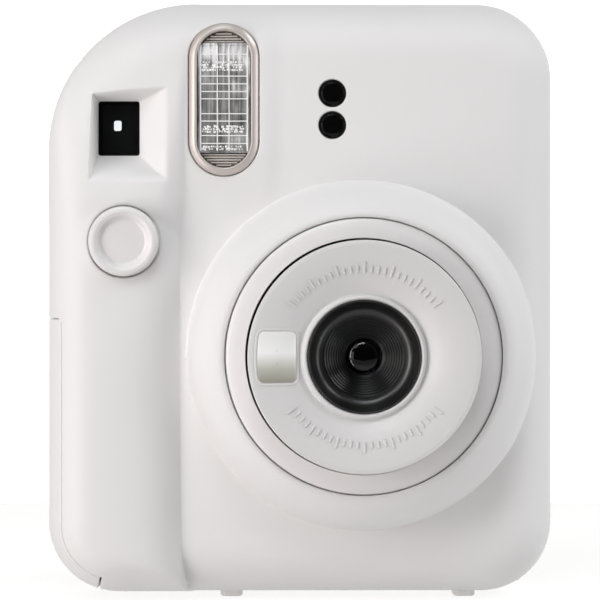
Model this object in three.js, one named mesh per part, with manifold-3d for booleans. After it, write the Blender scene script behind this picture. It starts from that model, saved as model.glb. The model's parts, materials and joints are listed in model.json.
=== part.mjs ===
// Instant film camera, modelled as an assembly of separate pieces.
// Frame: millimetres, +X to the viewer's right when facing the lens, +Y to the back, +Z up.
// Origin: middle of the footprint, at the level of the feet.
import * as THREE from 'three';
import { mergeVertices } from 'three/addons/utils/BufferGeometryUtils.js';
import Module from 'manifold-3d';

const wasm = await Module();
wasm.setup();

// ---------------------------------------------------------------- driving dimensions
const WIDTH = 104, HEIGHT = 122;              // body outline, over the feet
const FOOT_H = 0.6;                           // how far the feet stand below the body
const Y_FACE = -14.5, Y_GRIP = -19.6;         // front face and grip crest
const Y_SEAM = 6, Y_BACK = 32;                // front/rear shell seam, rear face
const WALL = 2;                               // shell wall
const GAP = 0.3;                              // clearance between neighbouring pieces
const R_TL = 31, R_TR = 16, R_BR = 15, R_BL = 15; // outline corner radii
const LX = 12.35, LZ = 49.7;                  // lens axis
const R_BUMP = 35.2, Y_CROWN = -28.3;         // lens bump
const R_RING = 27.1, Y_RING = -28.0;          // twist ring
const R_BARREL = 22.9, Y_RIM = -35.8;         // barrel at its "on" position
const FLX = -15.4, FLZ = 101.1, FLW = 14.75, FLH = 30.8; // flash trim
const BTX = -35.4, BTZ = 72.5, R_BTN = 7.0;   // shutter button
const SNX = 6.4, SNZ = [102.4, 96.0], R_SN = 2.75;       // sensor windows
const PIN_X = 48.2, PIN_Y = 27.0;             // back cover hinge axis
const DOOR = { x0: -22.3, x1: 44.5, z0: 7.7, z1: 104.9 }; // back cover opening
const KNUCKLES = [[20, 34], [80, 94]];        // back cover hinge knuckles
const ROLL_Z = 109, ROLL_YD = 24.2, ROLL_YP = 17.8, R_ROLL = 3.0;
const MOD = 0.8;                              // gear module
const GX0 = -24.5, GX1 = -21.5;               // gear train plane

// ---------------------------------------------------------------- helpers
function toSolid(geo) {
  let g = geo.clone();
  for (const a of ['normal', 'uv']) if (g.getAttribute(a)) g.deleteAttribute(a);
  g = mergeVertices(g, 1e-4);
  const p = g.attributes.position.array, ix = Array.from(g.index.array);
  let vol = 0;
  const t = [];
  for (let i = 0; i < ix.length; i += 3) {
    const [a, b, c] = [ix[i], ix[i + 1], ix[i + 2]];
    if (a === b || b === c || a === c) continue;
    t.push(a, b, c);
    const A = [p[3 * a], p[3 * a + 1], p[3 * a + 2]], B = [p[3 * b], p[3 * b + 1], p[3 * b + 2]], C = [p[3 * c], p[3 * c + 1], p[3 * c + 2]];
    vol += A[0] * (B[1] * C[2] - B[2] * C[1]) - A[1] * (B[0] * C[2] - B[2] * C[0]) + A[2] * (B[0] * C[1] - B[1] * C[0]);
  }
  if (vol < 0) for (let i = 0; i < t.length; i += 3) { const s = t[i + 1]; t[i + 1] = t[i + 2]; t[i + 2] = s; }
  return new wasm.Manifold(new wasm.Mesh({ numProp: 3, vertProperties: new Float32Array(p), triVerts: new Uint32Array(t) }));
}
const union = (...m) => m.reduce((a, b) => a.add(b));
const cut = (a, ...m) => m.reduce((x, y) => x.subtract(y), a);

function box(x0, x1, y0, y1, z0, z1) {
  return toSolid(new THREE.BoxGeometry(x1 - x0, y1 - y0, z1 - z0).translate((x0 + x1) / 2, (y0 + y1) / 2, (z0 + z1) / 2));
}
function cylY(x, z, r, y0, y1, n = 32, r2 = r) { // r at y0, r2 at y1
  return toSolid(new THREE.CylinderGeometry(r2, r, y1 - y0, n).translate(x, (y0 + y1) / 2, z));
}
function cylX(y, z, r, x0, x1, n = 24) {
  return toSolid(new THREE.CylinderGeometry(r, r, x1 - x0, n).rotateZ(-Math.PI / 2).translate((x0 + x1) / 2, y, z));
}
function cylZ(x, y, r, z0, z1, n = 24) {
  return toSolid(new THREE.CylinderGeometry(r, r, z1 - z0, n).rotateX(Math.PI / 2).translate(x, y, (z0 + z1) / 2));
}
// closed profile [r, y] turned about an axis along Y through (x, z)
function latheY(pts, x, z, n = 48) {
  const p = pts.map(([r, y]) => new THREE.Vector2(r, y));
  if (pts[0][0] > 0) p.push(p[0].clone());
  return toSolid(new THREE.LatheGeometry(p, n).translate(x, 0, z));
}
function extrude(points, depth) {
  return new THREE.ExtrudeGeometry(new THREE.Shape(points.map(([a, b]) => new THREE.Vector2(a, b))), { depth, bevelEnabled: false, steps: 1 });
}
// outline in X,Z pushed along Y
function prismY(pts, y0, y1) { return toSolid(extrude(pts, y1 - y0).rotateX(Math.PI / 2).translate(0, y1, 0)); }
// outline in X,Y pushed along Z
function prismZ(pts, z0, z1) { return toSolid(extrude(pts, z1 - z0).translate(0, 0, z0)); }
// outline in Y,Z pushed along X
function prismX(pts, x0, x1) {
  return toSolid(extrude(pts, x1 - x0).applyMatrix4(new THREE.Matrix4().set(0, 0, 1, x0, 1, 0, 0, 0, 0, 1, 0, 0, 0, 0, 0, 1)));
}
// rings of equal length joined into a closed skin with flat ends
function loft(rings) {
  const n = rings[0].length, pos = [], idx = [];
  rings.forEach(r => r.forEach(q => pos.push(...q)));
  for (let k = 0; k < rings.length - 1; k++)
    for (let i = 0; i < n; i++) {
      const j = (i + 1) % n, a = k * n + i, b = k * n + j, c = (k + 1) * n + i, d = (k + 1) * n + j;
      idx.push(a, b, d, a, d, c);
    }
  const cap = (k, last) => {
    const c = rings[k].map(q => new THREE.Vector2(q[0], q[2])), sign = Math.sign(THREE.ShapeUtils.area(c));
    for (const [i, j, l] of THREE.ShapeUtils.triangulateShape(c.slice(), [])) {
      const s = Math.sign((c[j].x - c[i].x) * (c[l].y - c[i].y) - (c[j].y - c[i].y) * (c[l].x - c[i].x));
      if ((s === sign) === last) idx.push(k * n + i, k * n + j, k * n + l); else idx.push(k * n + i, k * n + l, k * n + j);
    }
  };
  cap(0, false); cap(rings.length - 1, true);
  const g = new THREE.BufferGeometry();
  g.setAttribute('position', new THREE.Float32BufferAttribute(pos, 3));
  g.setIndex(idx);
  return toSolid(g);
}
function roundRect(x0, x1, z0, z1, r, n = 3) {
  const p = [];
  for (const [cx, cz, a0] of [[x1 - r, z1 - r, 0], [x0 + r, z1 - r, 90], [x0 + r, z0 + r, 180], [x1 - r, z0 + r, 270]])
    for (let i = 0; i <= n; i++) { const a = (a0 + 90 * i / n) * Math.PI / 180; p.push([cx + r * Math.cos(a), cz + r * Math.sin(a)]); }
  return p;
}
// body outline moved inwards by d, at depth y
function ring(d, y) {
  const c = [[WIDTH / 2 - R_TR, HEIGHT - R_TR, R_TR, 0, 8], [-WIDTH / 2 + R_TL, HEIGHT - R_TL, R_TL, 90, 12],
    [-WIDTH / 2 + R_BL, FOOT_H + R_BL, R_BL, 180, 8], [WIDTH / 2 - R_BR, FOOT_H + R_BR, R_BR, 270, 8]];
  const p = [];
  for (const [cx, cz, r, a0, n] of c)
    for (let i = 0; i <= n; i++) { const a = (a0 + 90 * i / n) * Math.PI / 180, q = Math.max(r - d, 0.4); p.push([cx + q * Math.cos(a), y, cz + q * Math.sin(a)]); }
  return p;
}
const hull = (levels) => loft(levels.map(([y, d]) => ring(d, y)));

// spur gear outline centred on 0,0; thickness factor leaves backlash
function gearPts(n, phase = 0, add = 0.8, ded = 1.1, thick = 0.38) {
  const r = MOD * n / 2, rb = r * Math.cos(20 * Math.PI / 180), ra = r + add * MOD, rf = r - ded * MOD;
  const inv = a => Math.tan(a) - a, half = thick * Math.PI / n;
  const at = rad => (rad <= rb ? half + inv(20 * Math.PI / 180) : half + inv(20 * Math.PI / 180) - inv(Math.acos(rb / rad)));
  const pts = [];
  for (let k = 0; k < n; k++) {
    const c = phase + k * 2 * Math.PI / n, R = n > 12 ? [rf, r, ra] : [rf, Math.max(rb, rf + 0.02), (r + ra) / 2, ra];
    for (const q of R) pts.push([q * Math.cos(c - Math.max(at(q), 0.01)), q * Math.sin(c - Math.max(at(q), 0.01))]);
    for (const q of R.slice().reverse()) pts.push([q * Math.cos(c + Math.max(at(q), 0.01)), q * Math.sin(c + Math.max(at(q), 0.01))]);
  }
  return pts;
}
// gear in the Y,Z plane, centred on y,z
function gearX(n, y, z, x0, x1, phase) { return prismX(gearPts(n, phase).map(([a, b]) => [a + y, b + z]), x0, x1); }

const camera = new THREE.Group();
camera.name = 'instant_camera';
const MAT = {
  shell: [0xe3e0dd, 0.42, 0.0], ring: [0xdcd9d6, 0.38, 0.0], trim: [0xc9c5c0, 0.25, 0.2], black: [0x161616, 0.5, 0.0],
  gloss: [0x0a0a0b, 0.12, 0.0], glass: [0x8fa3ad, 0.05, 0.0], mirror: [0xd8d4cc, 0.05, 1.0], steel: [0x9a9c9f, 0.35, 1.0],
  chrome: [0xd0d0d2, 0.1, 1.0], rubber: [0x2a2a2a, 0.85, 0.0], brass: [0xb8964c, 0.35, 1.0], board: [0x1f5a38, 0.55, 0.0],
  cell: [0x2d3138, 0.35, 0.3], grey: [0x6e7072, 0.5, 0.0], clear: [0xeaf0f2, 0.08, 0.0], foot: [0xbdbab6, 0.7, 0.0],
  window: [0xc9a227, 0.2, 0.0], dial: [0xf0eeea, 0.5, 0.0],
};
function add(name, m, mat, pivot = [0, 0, 0]) {
  const mesh = m.getMesh(), g = new THREE.BufferGeometry(), v = mesh.vertProperties, k = mesh.numProp, pos = [];
  for (let i = 0; i < v.length / k; i++) pos.push(v[i * k] - pivot[0], v[i * k + 1] - pivot[1], v[i * k + 2] - pivot[2]);
  g.setAttribute('position', new THREE.Float32BufferAttribute(pos, 3));
  g.setIndex(Array.from(mesh.triVerts));
  g.computeVertexNormals();
  const [color, roughness, metalness] = MAT[mat];
  const o = new THREE.Mesh(g, new THREE.MeshStandardMaterial({ color, roughness, metalness }));
  o.name = name;
  o.position.set(...pivot);
  camera.add(o);
}

// ---------------------------------------------------------------- shells
const bodyLevels = o => [[Y_SEAM + 0.15, o], [-2 + o / 2, o], [-6 + o * 0.8, 0.6 + o], [-9.5 + o, 2.0 + o], [-12 + o, 4.2 + o], [-13.7 + o, 7.2 + o], [Y_FACE + o, 11.5 + o]];
const rearLevels = o => [[Y_SEAM + 0.15, o], [20, o], [25 - o / 2, 0.5 + o], [28.5 - o, 1.8 + o], [30.7 - o, 4 + o], [Y_BACK - o, 8 + o]];
const gripLevels = o => [[2, o], [-4, o], [-8 + o / 2, 0.9 + o], [-12 + o, 2.6 + o], [-15.5 + o, 5.2 + o], [-18 + o, 8.4 + o], [Y_GRIP + o, 12.3 + o]];
// grip: outline hull limited to the right by the finger slope and at the top by the fade into the face
function grip(o) {
  const side = prismZ([[-60, 1.5], [-60, -24], [-38, -24], [-38, Y_GRIP - 0.1 + o], [-33.5 - o / 3, -19.1 + o], [-30 - o / 2, -18 + o], [-27.2 - o, -16.2 + o], [-25.2 - o, -13.8 + o], [-24.2 - o, -11], [-24.2 - o, 1.5]], -2, 110);
  const fade = prismX([[1.8, -5], [-24, -5], [-24, 68], [Y_GRIP - 0.1 + o, 68], [-18.9 + o, 77 - o], [-17.2 + o, 86 - o], [-15.2 + o, 93 - o], [-12.9 + o, 98.5 - o], [-9 + o, 104 - o], [-5, 109 - o], [1.8, 112 - o]], -60, -10);
  return hull(gripLevels(o)).intersect(side).intersect(fade);
}
const bumpOut = latheY([[0, -4], [R_BUMP, -4], [R_BUMP, -14.5], [35.0, -17], [34.3, -20], [33.0, -23], [31.2, -25.8], [29.3, -27.6], [28.2, Y_CROWN + 0.1], [27.6, Y_CROWN], [0, Y_CROWN]], LX, LZ, 48);
const bumpIn = latheY([[0, -1], [33.0, -1], [33.0, -16], [32.1, -20], [30.6, -23.2], [29.5, -25.2], [0, -25.2]], LX, LZ, 48);
const rect = (x0, x1, z0, z1, y) => [[x0, y, z0], [x1, y, z0], [x1, y, z1], [x0, y, z1]];

const outer = union(hull(bodyLevels(0)), grip(0), bumpOut, hull(rearLevels(0)));
const inner = union(hull(bodyLevels(WALL)), grip(WALL), bumpIn, hull(rearLevels(WALL)));
let shell = cut(outer, inner);
// sloped recess round the finder window, with its own wall
shell = union(shell, loft([rect(-43.6, -25.4, 83.6, 104.6, -12.2), rect(-42.6, -31.0, 88.4, 102.5, -8.9)]));
shell = cut(shell, loft([rect(-42.9, -25.6, 83.8, 104.4, -15.6), rect(-40.95, -32.55, 90.0, 100.95, -10.2)]),
  box(-40.95, -32.55, -11, -5, 90.0, 100.95));
// bore for the twist ring, holes for flash, sensors and button
shell = cut(shell, cylY(LX, LZ, R_RING + GAP, -40, -10, 48));
const stadium = (w, h, n = 8) => { const r = w / 2, p = []; for (let i = 0; i <= n; i++) { const a = Math.PI * i / n; p.push([FLX + r * Math.cos(a), FLZ + h / 2 - r + r * Math.sin(a)]); } for (let i = 0; i <= n; i++) { const a = Math.PI + Math.PI * i / n; p.push([FLX + r * Math.cos(a), FLZ - h / 2 + r + r * Math.sin(a)]); } return p; };
shell = cut(shell, prismY(stadium(FLW + 0.2, FLH + 0.2), -24, -3));
for (const z of SNZ) shell = cut(shell, cylY(SNX, z, R_SN + GAP, -24, -3, 20));
shell = cut(shell, cylY(BTX, BTZ, R_BTN + GAP, -26, -9, 28), cylY(BTX, BTZ, 8.35, -17.25, -9, 28));
// battery cover region: a strip down the grip side that wraps the lower corner
const strip = (e) => prismY([[-60, 57 - e], [-46.6 - e, 57 - e], [-46.6 - e, 16], [-45.7 - e, 12], [-43.7 - e, 9 - e], [-41.4 - e, 7 - e], [-41.4 - e, -3], [-60, -3]], -13 + e, 20 - e);
const batteryCover = shell.intersect(strip(GAP / 2));
shell = cut(shell, strip(-GAP / 2));

let front = shell.intersect(box(-80, 80, -60, Y_SEAM, -10, 140));
front = union(front, cylZ(-25, -1, 2.4, 2.2, 8, 12), cylZ(44, -1, 2.4, 4.2, 9, 12));   // screw bosses
front = cut(front, cylZ(-25, -1, 1.35, -3, 7, 12), cylZ(44, -1, 1.35, -3, 8, 12));
let rear = shell.intersect(box(-80, 80, Y_SEAM + GAP, 60, -10, 140));
// film door opening, hinge column, film exit slot, eyepiece hole
rear = cut(rear, box(DOOR.x0, 70, 26.9, 60, DOOR.z0, DOOR.z1));
rear = union(rear, hull(rearLevels(0)).intersect(box(44.5, 60, 24.9, 26.9, 4, 12.3)));          // ledge under the hinge
rear = union(rear, cylZ(PIN_X, PIN_Y, 3.55, 12, DOOR.z1 - 0.5, 20), box(48.2, 51.7, 20, 27, 12, DOOR.z1 - 0.5));
for (const [a, b] of KNUCKLES) rear = cut(rear, cylZ(PIN_X, PIN_Y, 3.95, a - GAP, b + GAP, 20));
rear = cut(rear, cylZ(PIN_X, PIN_Y, 1.3, 12.3, DOOR.z1 + 3, 12));
const SLOT = { x0: -17.3, x1: 42, y0: 17.6, y1: 23.8 };
rear = cut(rear, box(SLOT.x0, SLOT.x1, SLOT.y0, SLOT.y1, 117, 125));
rear = cut(rear, prismY(roundRect(-43.1, -30.5, 89.4, 101.6, 2.5), 27, 40));
// recesses for the feet
const FEET = { foot_front_left: [-14.1, 0], foot_front_right: [33.6, 0], foot_rear_left: [-14.1, 20], foot_rear_right: [33.6, 20] };
for (const [n, [x, y]] of Object.entries(FEET)) {
  const c = box(x - 2.55, x + 2.55, y - 3.3, y + 3.3, -2, 1.7);
  if (y < 6) front = cut(front, c); else rear = cut(rear, c);
  add(n, loft2(x, y), 'foot');
}
function loft2(x, y) {
  const q = (w, d, z) => { const r = 1, p = []; for (const [sx, sy, a0] of [[1, 1, 0], [-1, 1, 90], [-1, -1, 180], [1, -1, 270]]) for (let i = 0; i <= 2; i++) { const a = (a0 + 45 * i) * Math.PI / 180; p.push([x + sx * (w - r) + r * Math.cos(a), y + sy * (d - r) + r * Math.sin(a), z]); } return p; };
  const rings = [q(1.9, 2.6, 0), q(2.25, 3.0, 0.35), q(2.25, 3.0, 1.4)];
  // rings lie in X,Y here, so they are turned for the skin and turned back
  return loft(rings.map(r => r.map(([a, b, c]) => [a, c, -b]))).rotate([90, 0, 0]);
}
add('front_cover', front, 'shell');
add('rear_housing', rear, 'shell');
// battery cover with a small finger notch at its lower front corner
add('battery_cover', cut(batteryCover, box(-44.2, -40, -14, -9, -2, 2.9)), 'shell', [-51, 3, 30]);

// ---------------------------------------------------------------- back cover and what it carries
let door = cut(hull([[26, 0], ...rearLevels(0).slice(2)]), hull([[20, 0.5], [Y_BACK - WALL, 0.5]]).intersect(box(-20.3, 42.5, 20, Y_BACK - WALL, 9.7, 102.9)));
door = door.intersect(box(DOOR.x0 + GAP, DOOR.x1 - 0.6, 27.3, 50, DOOR.z0 + GAP, DOOR.z1 - GAP));
for (const [a, b] of KNUCKLES) {
  door = union(door, cylZ(PIN_X, PIN_Y, 3.5, a, b, 20), box(DOOR.x1 - 1.2, PIN_X - 0.5, 27.6, 30.3, a, b));
  door = cut(door, cylZ(PIN_X, PIN_Y, 1.3, a - 1, b + 1, 12));
}
door = union(door, cylY(28.7, 31.6, 1.2, 27.4, 30.5, 12));                          // counter dial stud
door = cut(door, prismY(roundRect(-7.5, 1.5, 34, 76, 2.5), 20, 40));               // film window
door = cut(door, prismY(roundRect(25.2, 32.2, 20.6, 26.6, 1.6), 20, 40));           // counter window
door = cut(door, box(-20.4, -16.4, 29, 40, 42.6, 57), box(-23, -20, 26, 29.5, 47.5, 55.5));                    // latch track and hook gap
add('back_cover', door, 'shell', [PIN_X, PIN_Y, 56]);
add('film_window', union(prismY(roundRect(-7.2, 1.2, 34.3, 75.7, 2.3), 29.2, 31.7), prismY(roundRect(-8.6, 2.6, 32.9, 77.1, 2.6), 28.0, 29.7)), 'window', [-3, 30, 55]);
add('counter_window', union(prismY(roundRect(25.5, 31.9, 20.9, 26.3, 1.4), 29.2, 31.7), prismY(roundRect(24.2, 33.2, 19.6, 27.6, 1.6), 28.9, 29.7)), 'clear', [28.7, 30, 23.6]);
add('counter_dial', cut(cylY(28.7, 31.6, 10.4, 27.5, 28.5, 32), cylY(28.7, 31.6, 1.5, 27, 29, 12)), 'dial', [28.7, 28, 31.6]);
add('back_cover_latch', union(box(-20.1, -16.7, 29.3, 33.2, 47, 56.5), box(-20.1, -16.7, 27.6, 29.5, 47, 54.4), box(-21.8, -20.0, 27.6, 28.9, 53.4, 54.4), box(-20.1, -16.7, 33, 34.2, 50.8, 52.6)), 'grey', [-18.4, 30, 52]);
add('hinge_pin', cylZ(PIN_X, PIN_Y, 1.0, 12.7, DOOR.z1 + 2, 16), 'steel', [PIN_X, PIN_Y, 56]);

// ---------------------------------------------------------------- film chamber, dark box
let chamber = cut(box(-19.8, 44.2, 12, 26.9, 7.9, 103.7), box(-18.3, 42.7, 13.5, 30, 9.4, 102.2));
chamber = cut(chamber, box(LX - 23, LX + 23, 10, 15, LZ - 31, LZ + 31), box(-16, 40.7, 18, 24, 100, 106), box(LX - 2.7, LX + 2.7, 10, 15, 9.4, 18.1));
add('film_chamber', chamber, 'black');
const rc = (w, h, y) => rect(LX - w / 2, LX + w / 2, LZ - h / 2, LZ + h / 2, y);
add('dark_box', cut(loft([rc(31, 31, -7.5), rc(50, 66, 11.7)]), loft([rc(28, 28, -7.6), rc(47, 63, 11.8)])), 'black');
// claw that pushes the film's lower edge: a strip in front of the chamber plate with a finger through its slot
add('film_claw', union(box(LX - 2.2, LX + 2.2, 8.2, 9.7, 4.4, 10.6), box(LX - 2.2, LX + 2.2, 9.6, 13.9, 9.8, 10.6)), 'steel', [LX, 10, 8]);

// ---------------------------------------------------------------- film drive
let bracket = union(box(-18.4, 43.0, 12.2, 13.7, 104.6, 113), box(-18.4, -16.9, 12.2, 27.6, 105.0, 113), box(41.5, 43.0, 12.2, 27.6, 105.0, 113));
bracket = cut(bracket, cylX(ROLL_YD, ROLL_Z, 1.55, -30, 60, 12), cylX(ROLL_YP, ROLL_Z, 1.55, -30, 60, 12));
add('roller_bracket', bracket, 'steel');
const axisB = [ROLL_YD - 13.6 * 0.632, ROLL_Z - 13.6 * 0.77497];
const axisA = [axisB[0] - 19.2 * 0.395, axisB[1] - 19.2 * 0.91868];
const axisP = [axisA[0] - 12.8 * 0.16, axisA[1] - 12.8 * 0.98712];
// phase that sets a driven gear's tooth gap against the driving gear's tooth
const meshPhase = (n1, ph1, c1, n2, c2) => { const a = Math.atan2(c2[1] - c1[1], c2[0] - c1[0]); return a + Math.PI - Math.PI / n2 + (n1 / n2) * (a - ph1); };
const phD = 0.2, phB = meshPhase(10, phD, [ROLL_YD, ROLL_Z], 24, axisB), phA = meshPhase(24, phB, axisB, 24, axisA), phP = meshPhase(24, phA, axisA, 8, axisP);
const phD2 = 0.1, phP2 = meshPhase(8, phD2, [ROLL_YD, ROLL_Z], 8, [ROLL_YP, ROLL_Z]);
add('drive_roller', union(cylX(ROLL_YD, ROLL_Z, R_ROLL, -15.5, 40.2, 16), cylX(ROLL_YD, ROLL_Z, 1.2, GX0, 46.0, 12), gearX(10, ROLL_YD, ROLL_Z, GX0, GX1, phD), gearX(8, ROLL_YD, ROLL_Z, 43.8, 46.0, phD2)), 'steel', [12.35, ROLL_YD, ROLL_Z]);
add('pinch_roller', union(cylX(ROLL_YP, ROLL_Z, R_ROLL, -15.5, 40.2, 16), cylX(ROLL_YP, ROLL_Z, 1.2, -19.4, 46.0, 12), gearX(8, ROLL_YP, ROLL_Z, 43.8, 46.0, phP2)), 'steel', [12.35, ROLL_YP, ROLL_Z]);
add('idler_gear_b', cut(gearX(24, ...axisB, GX0, GX1, phB), cylX(...axisB, 1.55, -30, 0, 12)), 'brass', [-23, ...axisB]);
add('idler_gear_a', cut(gearX(24, ...axisA, GX0, GX1, phA), cylX(...axisA, 1.55, -30, 0, 12)), 'brass', [-23, ...axisA]);
add('motor_pinion', union(gearX(8, ...axisP, GX0, GX1, phP), cylX(...axisP, 1.0, -31, GX1, 12)), 'brass', [-23, ...axisP]);
add('gear_plate', union(prismX([[2, 76], [12, 76], [20, 104], [12, 104]], -26.2, -24.9), cylX(...axisA, 1.2, -25.5, -20.8, 12), cylX(...axisB, 1.2, -25.5, -20.8, 12)), 'steel');
add('drive_motor', cut(cylX(...axisP, 6.2, -46, -27.2, 24), cylX(...axisP, 1.35, -32, -20, 12)), 'steel', [-36, ...axisP]);

// ---------------------------------------------------------------- twist ring, barrel and lens
add('twist_ring', latheY([[23.25, Y_RING + 0.2], [23.5, Y_RING], [26.7, Y_RING], [R_RING, Y_RING + 0.5], [R_RING, -24.9], [28.9, -24.9], [28.9, -22.9], [R_RING, -22.9], [R_RING, -12], [23.25, -12]], LX, LZ, 48), 'ring', [LX, -20, LZ]);
add('lens_barrel', latheY([[21.2, -33.2], [22.9, -33.2], [22.9, -14], [11.0, -14], [11.0, -15.5], [21.2, -15.5]], LX, LZ, 44), 'ring', [LX, -25, LZ]);
const MIRX = LX - 17.07;
const mirrorCut = prismY(roundRect(MIRX - 4.35, MIRX + 4.35, LZ - 5.55, LZ + 5.55, 1.6), -40, -33.2);
let face = latheY([[12.3, -33.3], [12.3, -33.9], [14.5, -34.35], [18.5, -35.2], [21.4, Y_RIM], [22.4, Y_RIM + 0.1], [R_BARREL, Y_RIM + 0.6], [R_BARREL, -33.5], [20.9, -33.5], [20.9, -32.4], [12.3, -31.6]], LX, LZ, 44);
add('lens_faceplate', cut(face, mirrorCut), 'ring', [LX, -34, LZ]);
add('selfie_mirror', prismY(roundRect(MIRX - 4.05, MIRX + 4.05, LZ - 5.25, LZ + 5.25, 1.4), -35.1, -33.5), 'mirror', [MIRX, -34.5, LZ]);
add('lens_funnel', latheY([[12.0, -31.3], [12.0, -33.8], [11.5, -34.6], [10.8, -34.8], [10.2, -34.5], [9.6, -33.4], [8.4, -33.0], [8.3, -31.8], [7.0, -31.5], [6.9, -30.3], [5.6, -30.0], [5.5, -28.8], [4.2, -28.5], [4.2, -27.4], [12.0, -27.4]], LX, LZ, 28), 'gloss', [LX, -31, LZ]);
add('front_lens', latheY([[0, -27.4], [2.5, -27.1], [4.6, -26.3], [6.0, -26.3], [6.0, -24.4], [0, -24.0]], LX, LZ, 24), 'glass', [LX, -25, LZ]);
add('lens_cell', latheY([[6.4, -27.0], [10.5, -27.0], [10.5, -14.4], [8.0, -14.4], [8.0, -16.0], [8.0, -19.3], [9.3, -19.3], [9.3, -23.6], [6.4, -23.6]], LX, LZ, 24), 'black', [LX, -20, LZ]);
add('shutter_plate', cut(cylY(LX, LZ, 9.0, -23.2, -22.4, 24), cylY(LX, LZ, 2.4, -24, -21, 12)), 'black', [LX, -22.8, LZ]);
// two shutter blades, each turning on a corner pivot, overlapping across the aperture in different planes
const blade = k => [[-3.4, -6.6], [-1.2, -6.6], [0.6, -3.2], [0.7, 3.0], [-2.6, 3.0], [-3.4, -2.5]].map(([a, b]) => [LX + k * a, LZ + b]);
const bladeA = prismY(blade(1), -22.0, -21.5);
const bladeB = prismY(blade(-1).reverse(), -21.1, -20.6);
add('shutter_blade_a', bladeA, 'steel', [LX - 2.3, -21.75, LZ - 5.6]);
add('shutter_blade_b', bladeB, 'steel', [LX + 2.3, -20.85, LZ - 5.6]);
add('rear_lens', latheY([[0, -18.2], [4.0, -18.5], [7.7, -18.9], [7.7, -16.6], [4.0, -16.9], [0, -17.0]], LX, LZ, 24), 'glass', [LX, -17.6, LZ]);
add('shutter_solenoid', cylZ(LX + 15.5, -22, 3.2, LZ - 6, LZ + 6, 16), 'steel', [LX + 15.5, -22, LZ]);

// ---------------------------------------------------------------- finder
add('finder_front_window', prismY(roundRect(-41.9, -31.6, 89.1, 101.9, 0.8, 1), -8.6, -7.6), 'glass', [-36.8, -8, 95.5]);
const FT = { x0: -42.4, x1: -31.2, z0: 88.7, z1: 102.3 };
add('finder_tube', cut(box(FT.x0, FT.x1, -7.2, 28.2, FT.z0, FT.z1), box(FT.x0 + 1.4, FT.x1 - 1.4, -8, 18, FT.z0 + 1.4, FT.z1 - 1.4), box(FT.x0 + 3, FT.x1 - 3, 17, 31, FT.z0 + 3, FT.z1 - 3)), 'black');
add('eyepiece_frame', cut(union(prismY(roundRect(-45.2, -28.4, 87.4, 103.6, 3.5), 32.3, 35.4), prismY(roundRect(-44.2, -29.4, 88.4, 102.6, 3.0), 35.2, 35.8), prismY(roundRect(-42.8, -30.8, 89.7, 101.3, 2.2), 29.5, 32.5)),
  prismY(roundRect(-40.8, -32.8, 91.5, 99.5, 1.5), 20, 40), prismY(roundRect(-41.6, -32.0, 90.7, 100.3, 1.7), 33.4, 40)), 'black', [-36.8, 33, 95.5]);
add('eyepiece_lens', prismY(roundRect(-41.3, -32.3, 91.0, 100.0, 1.5), 33.7, 34.9), 'glass', [-36.8, 34.3, 95.5]);

// ---------------------------------------------------------------- flash
add('flash_bezel', cut(union(prismY(stadium(FLW - 0.9, FLH - 0.9), -16.1, -15.3), prismY(stadium(FLW - 0.4, FLH - 0.4), -15.4, -10.6)), box(FLX - 4.9, FLX + 4.9, -20, 0, 90.05, 112.1)), 'trim', [FLX, -14, FLZ]);
add('flash_lens', box(FLX - 4.6, FLX + 4.6, -15.7, -13.8, 90.35, 111.8), 'clear', [FLX, -14.8, FLZ]);
add('flash_reflector', cut(box(FLX - 4.6, FLX + 4.6, -13.3, -2.6, 90.35, 111.8), prismX([[-13.4, 91.0], [-13.4, 111.2], [-4.4, 106.5], [-3.4, 103], [-3.4, 99.2], [-4.4, 95.7]].map(([a, b]) => [a, b]), FLX - 4.0, FLX + 4.0)), 'chrome', [FLX, -8, FLZ]);
add('flash_tube', cylX(-6.2, FLZ, 1.3, FLX - 3.7, FLX + 3.7, 12), 'clear', [FLX, -6.2, FLZ]);
add('flash_capacitor', cylX(4.5, 110, 4.6, -16, 14, 24), 'cell', [-1, 4.5, 110]);
add('main_board', cut(box(-4, 44, -4.6, -3.2, 88.5, 114), box(-6, 1, -6, 0, 108, 116)), 'board');
for (const [n, z] of [['sensor_window_upper', SNZ[0]], ['sensor_window_lower', SNZ[1]]])
  add(n, latheY([[0, -14.35], [R_SN - 0.3, -14.35], [R_SN, -14.1], [R_SN, -12.2], [R_SN - 0.6, -12.2], [R_SN - 0.6, -5.0], [0, -5.0]], SNX, z, 16), 'gloss', [SNX, -12, z]);

// ---------------------------------------------------------------- shutter button
add('shutter_button', latheY([[0, -19.75], [2.5, -19.9], [4.6, -20.35], [5.4, -21.0], [6.2, -21.15], [6.8, -20.8], [R_BTN, -20.2], [R_BTN, -16.9], [8.0, -16.9], [8.0, -15.7], [1.6, -15.7], [1.6, -14.6], [0, -14.6]], BTX, BTZ, 26), 'ring', [BTX, -18, BTZ]);
add('release_switch', union(box(BTX - 4, BTX + 4, -11.4, -7.6, BTZ - 4, BTZ + 4), cylY(BTX, BTZ, 1.6, -12.6, -11, 12)), 'black', [BTX, -10, BTZ]);

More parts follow.
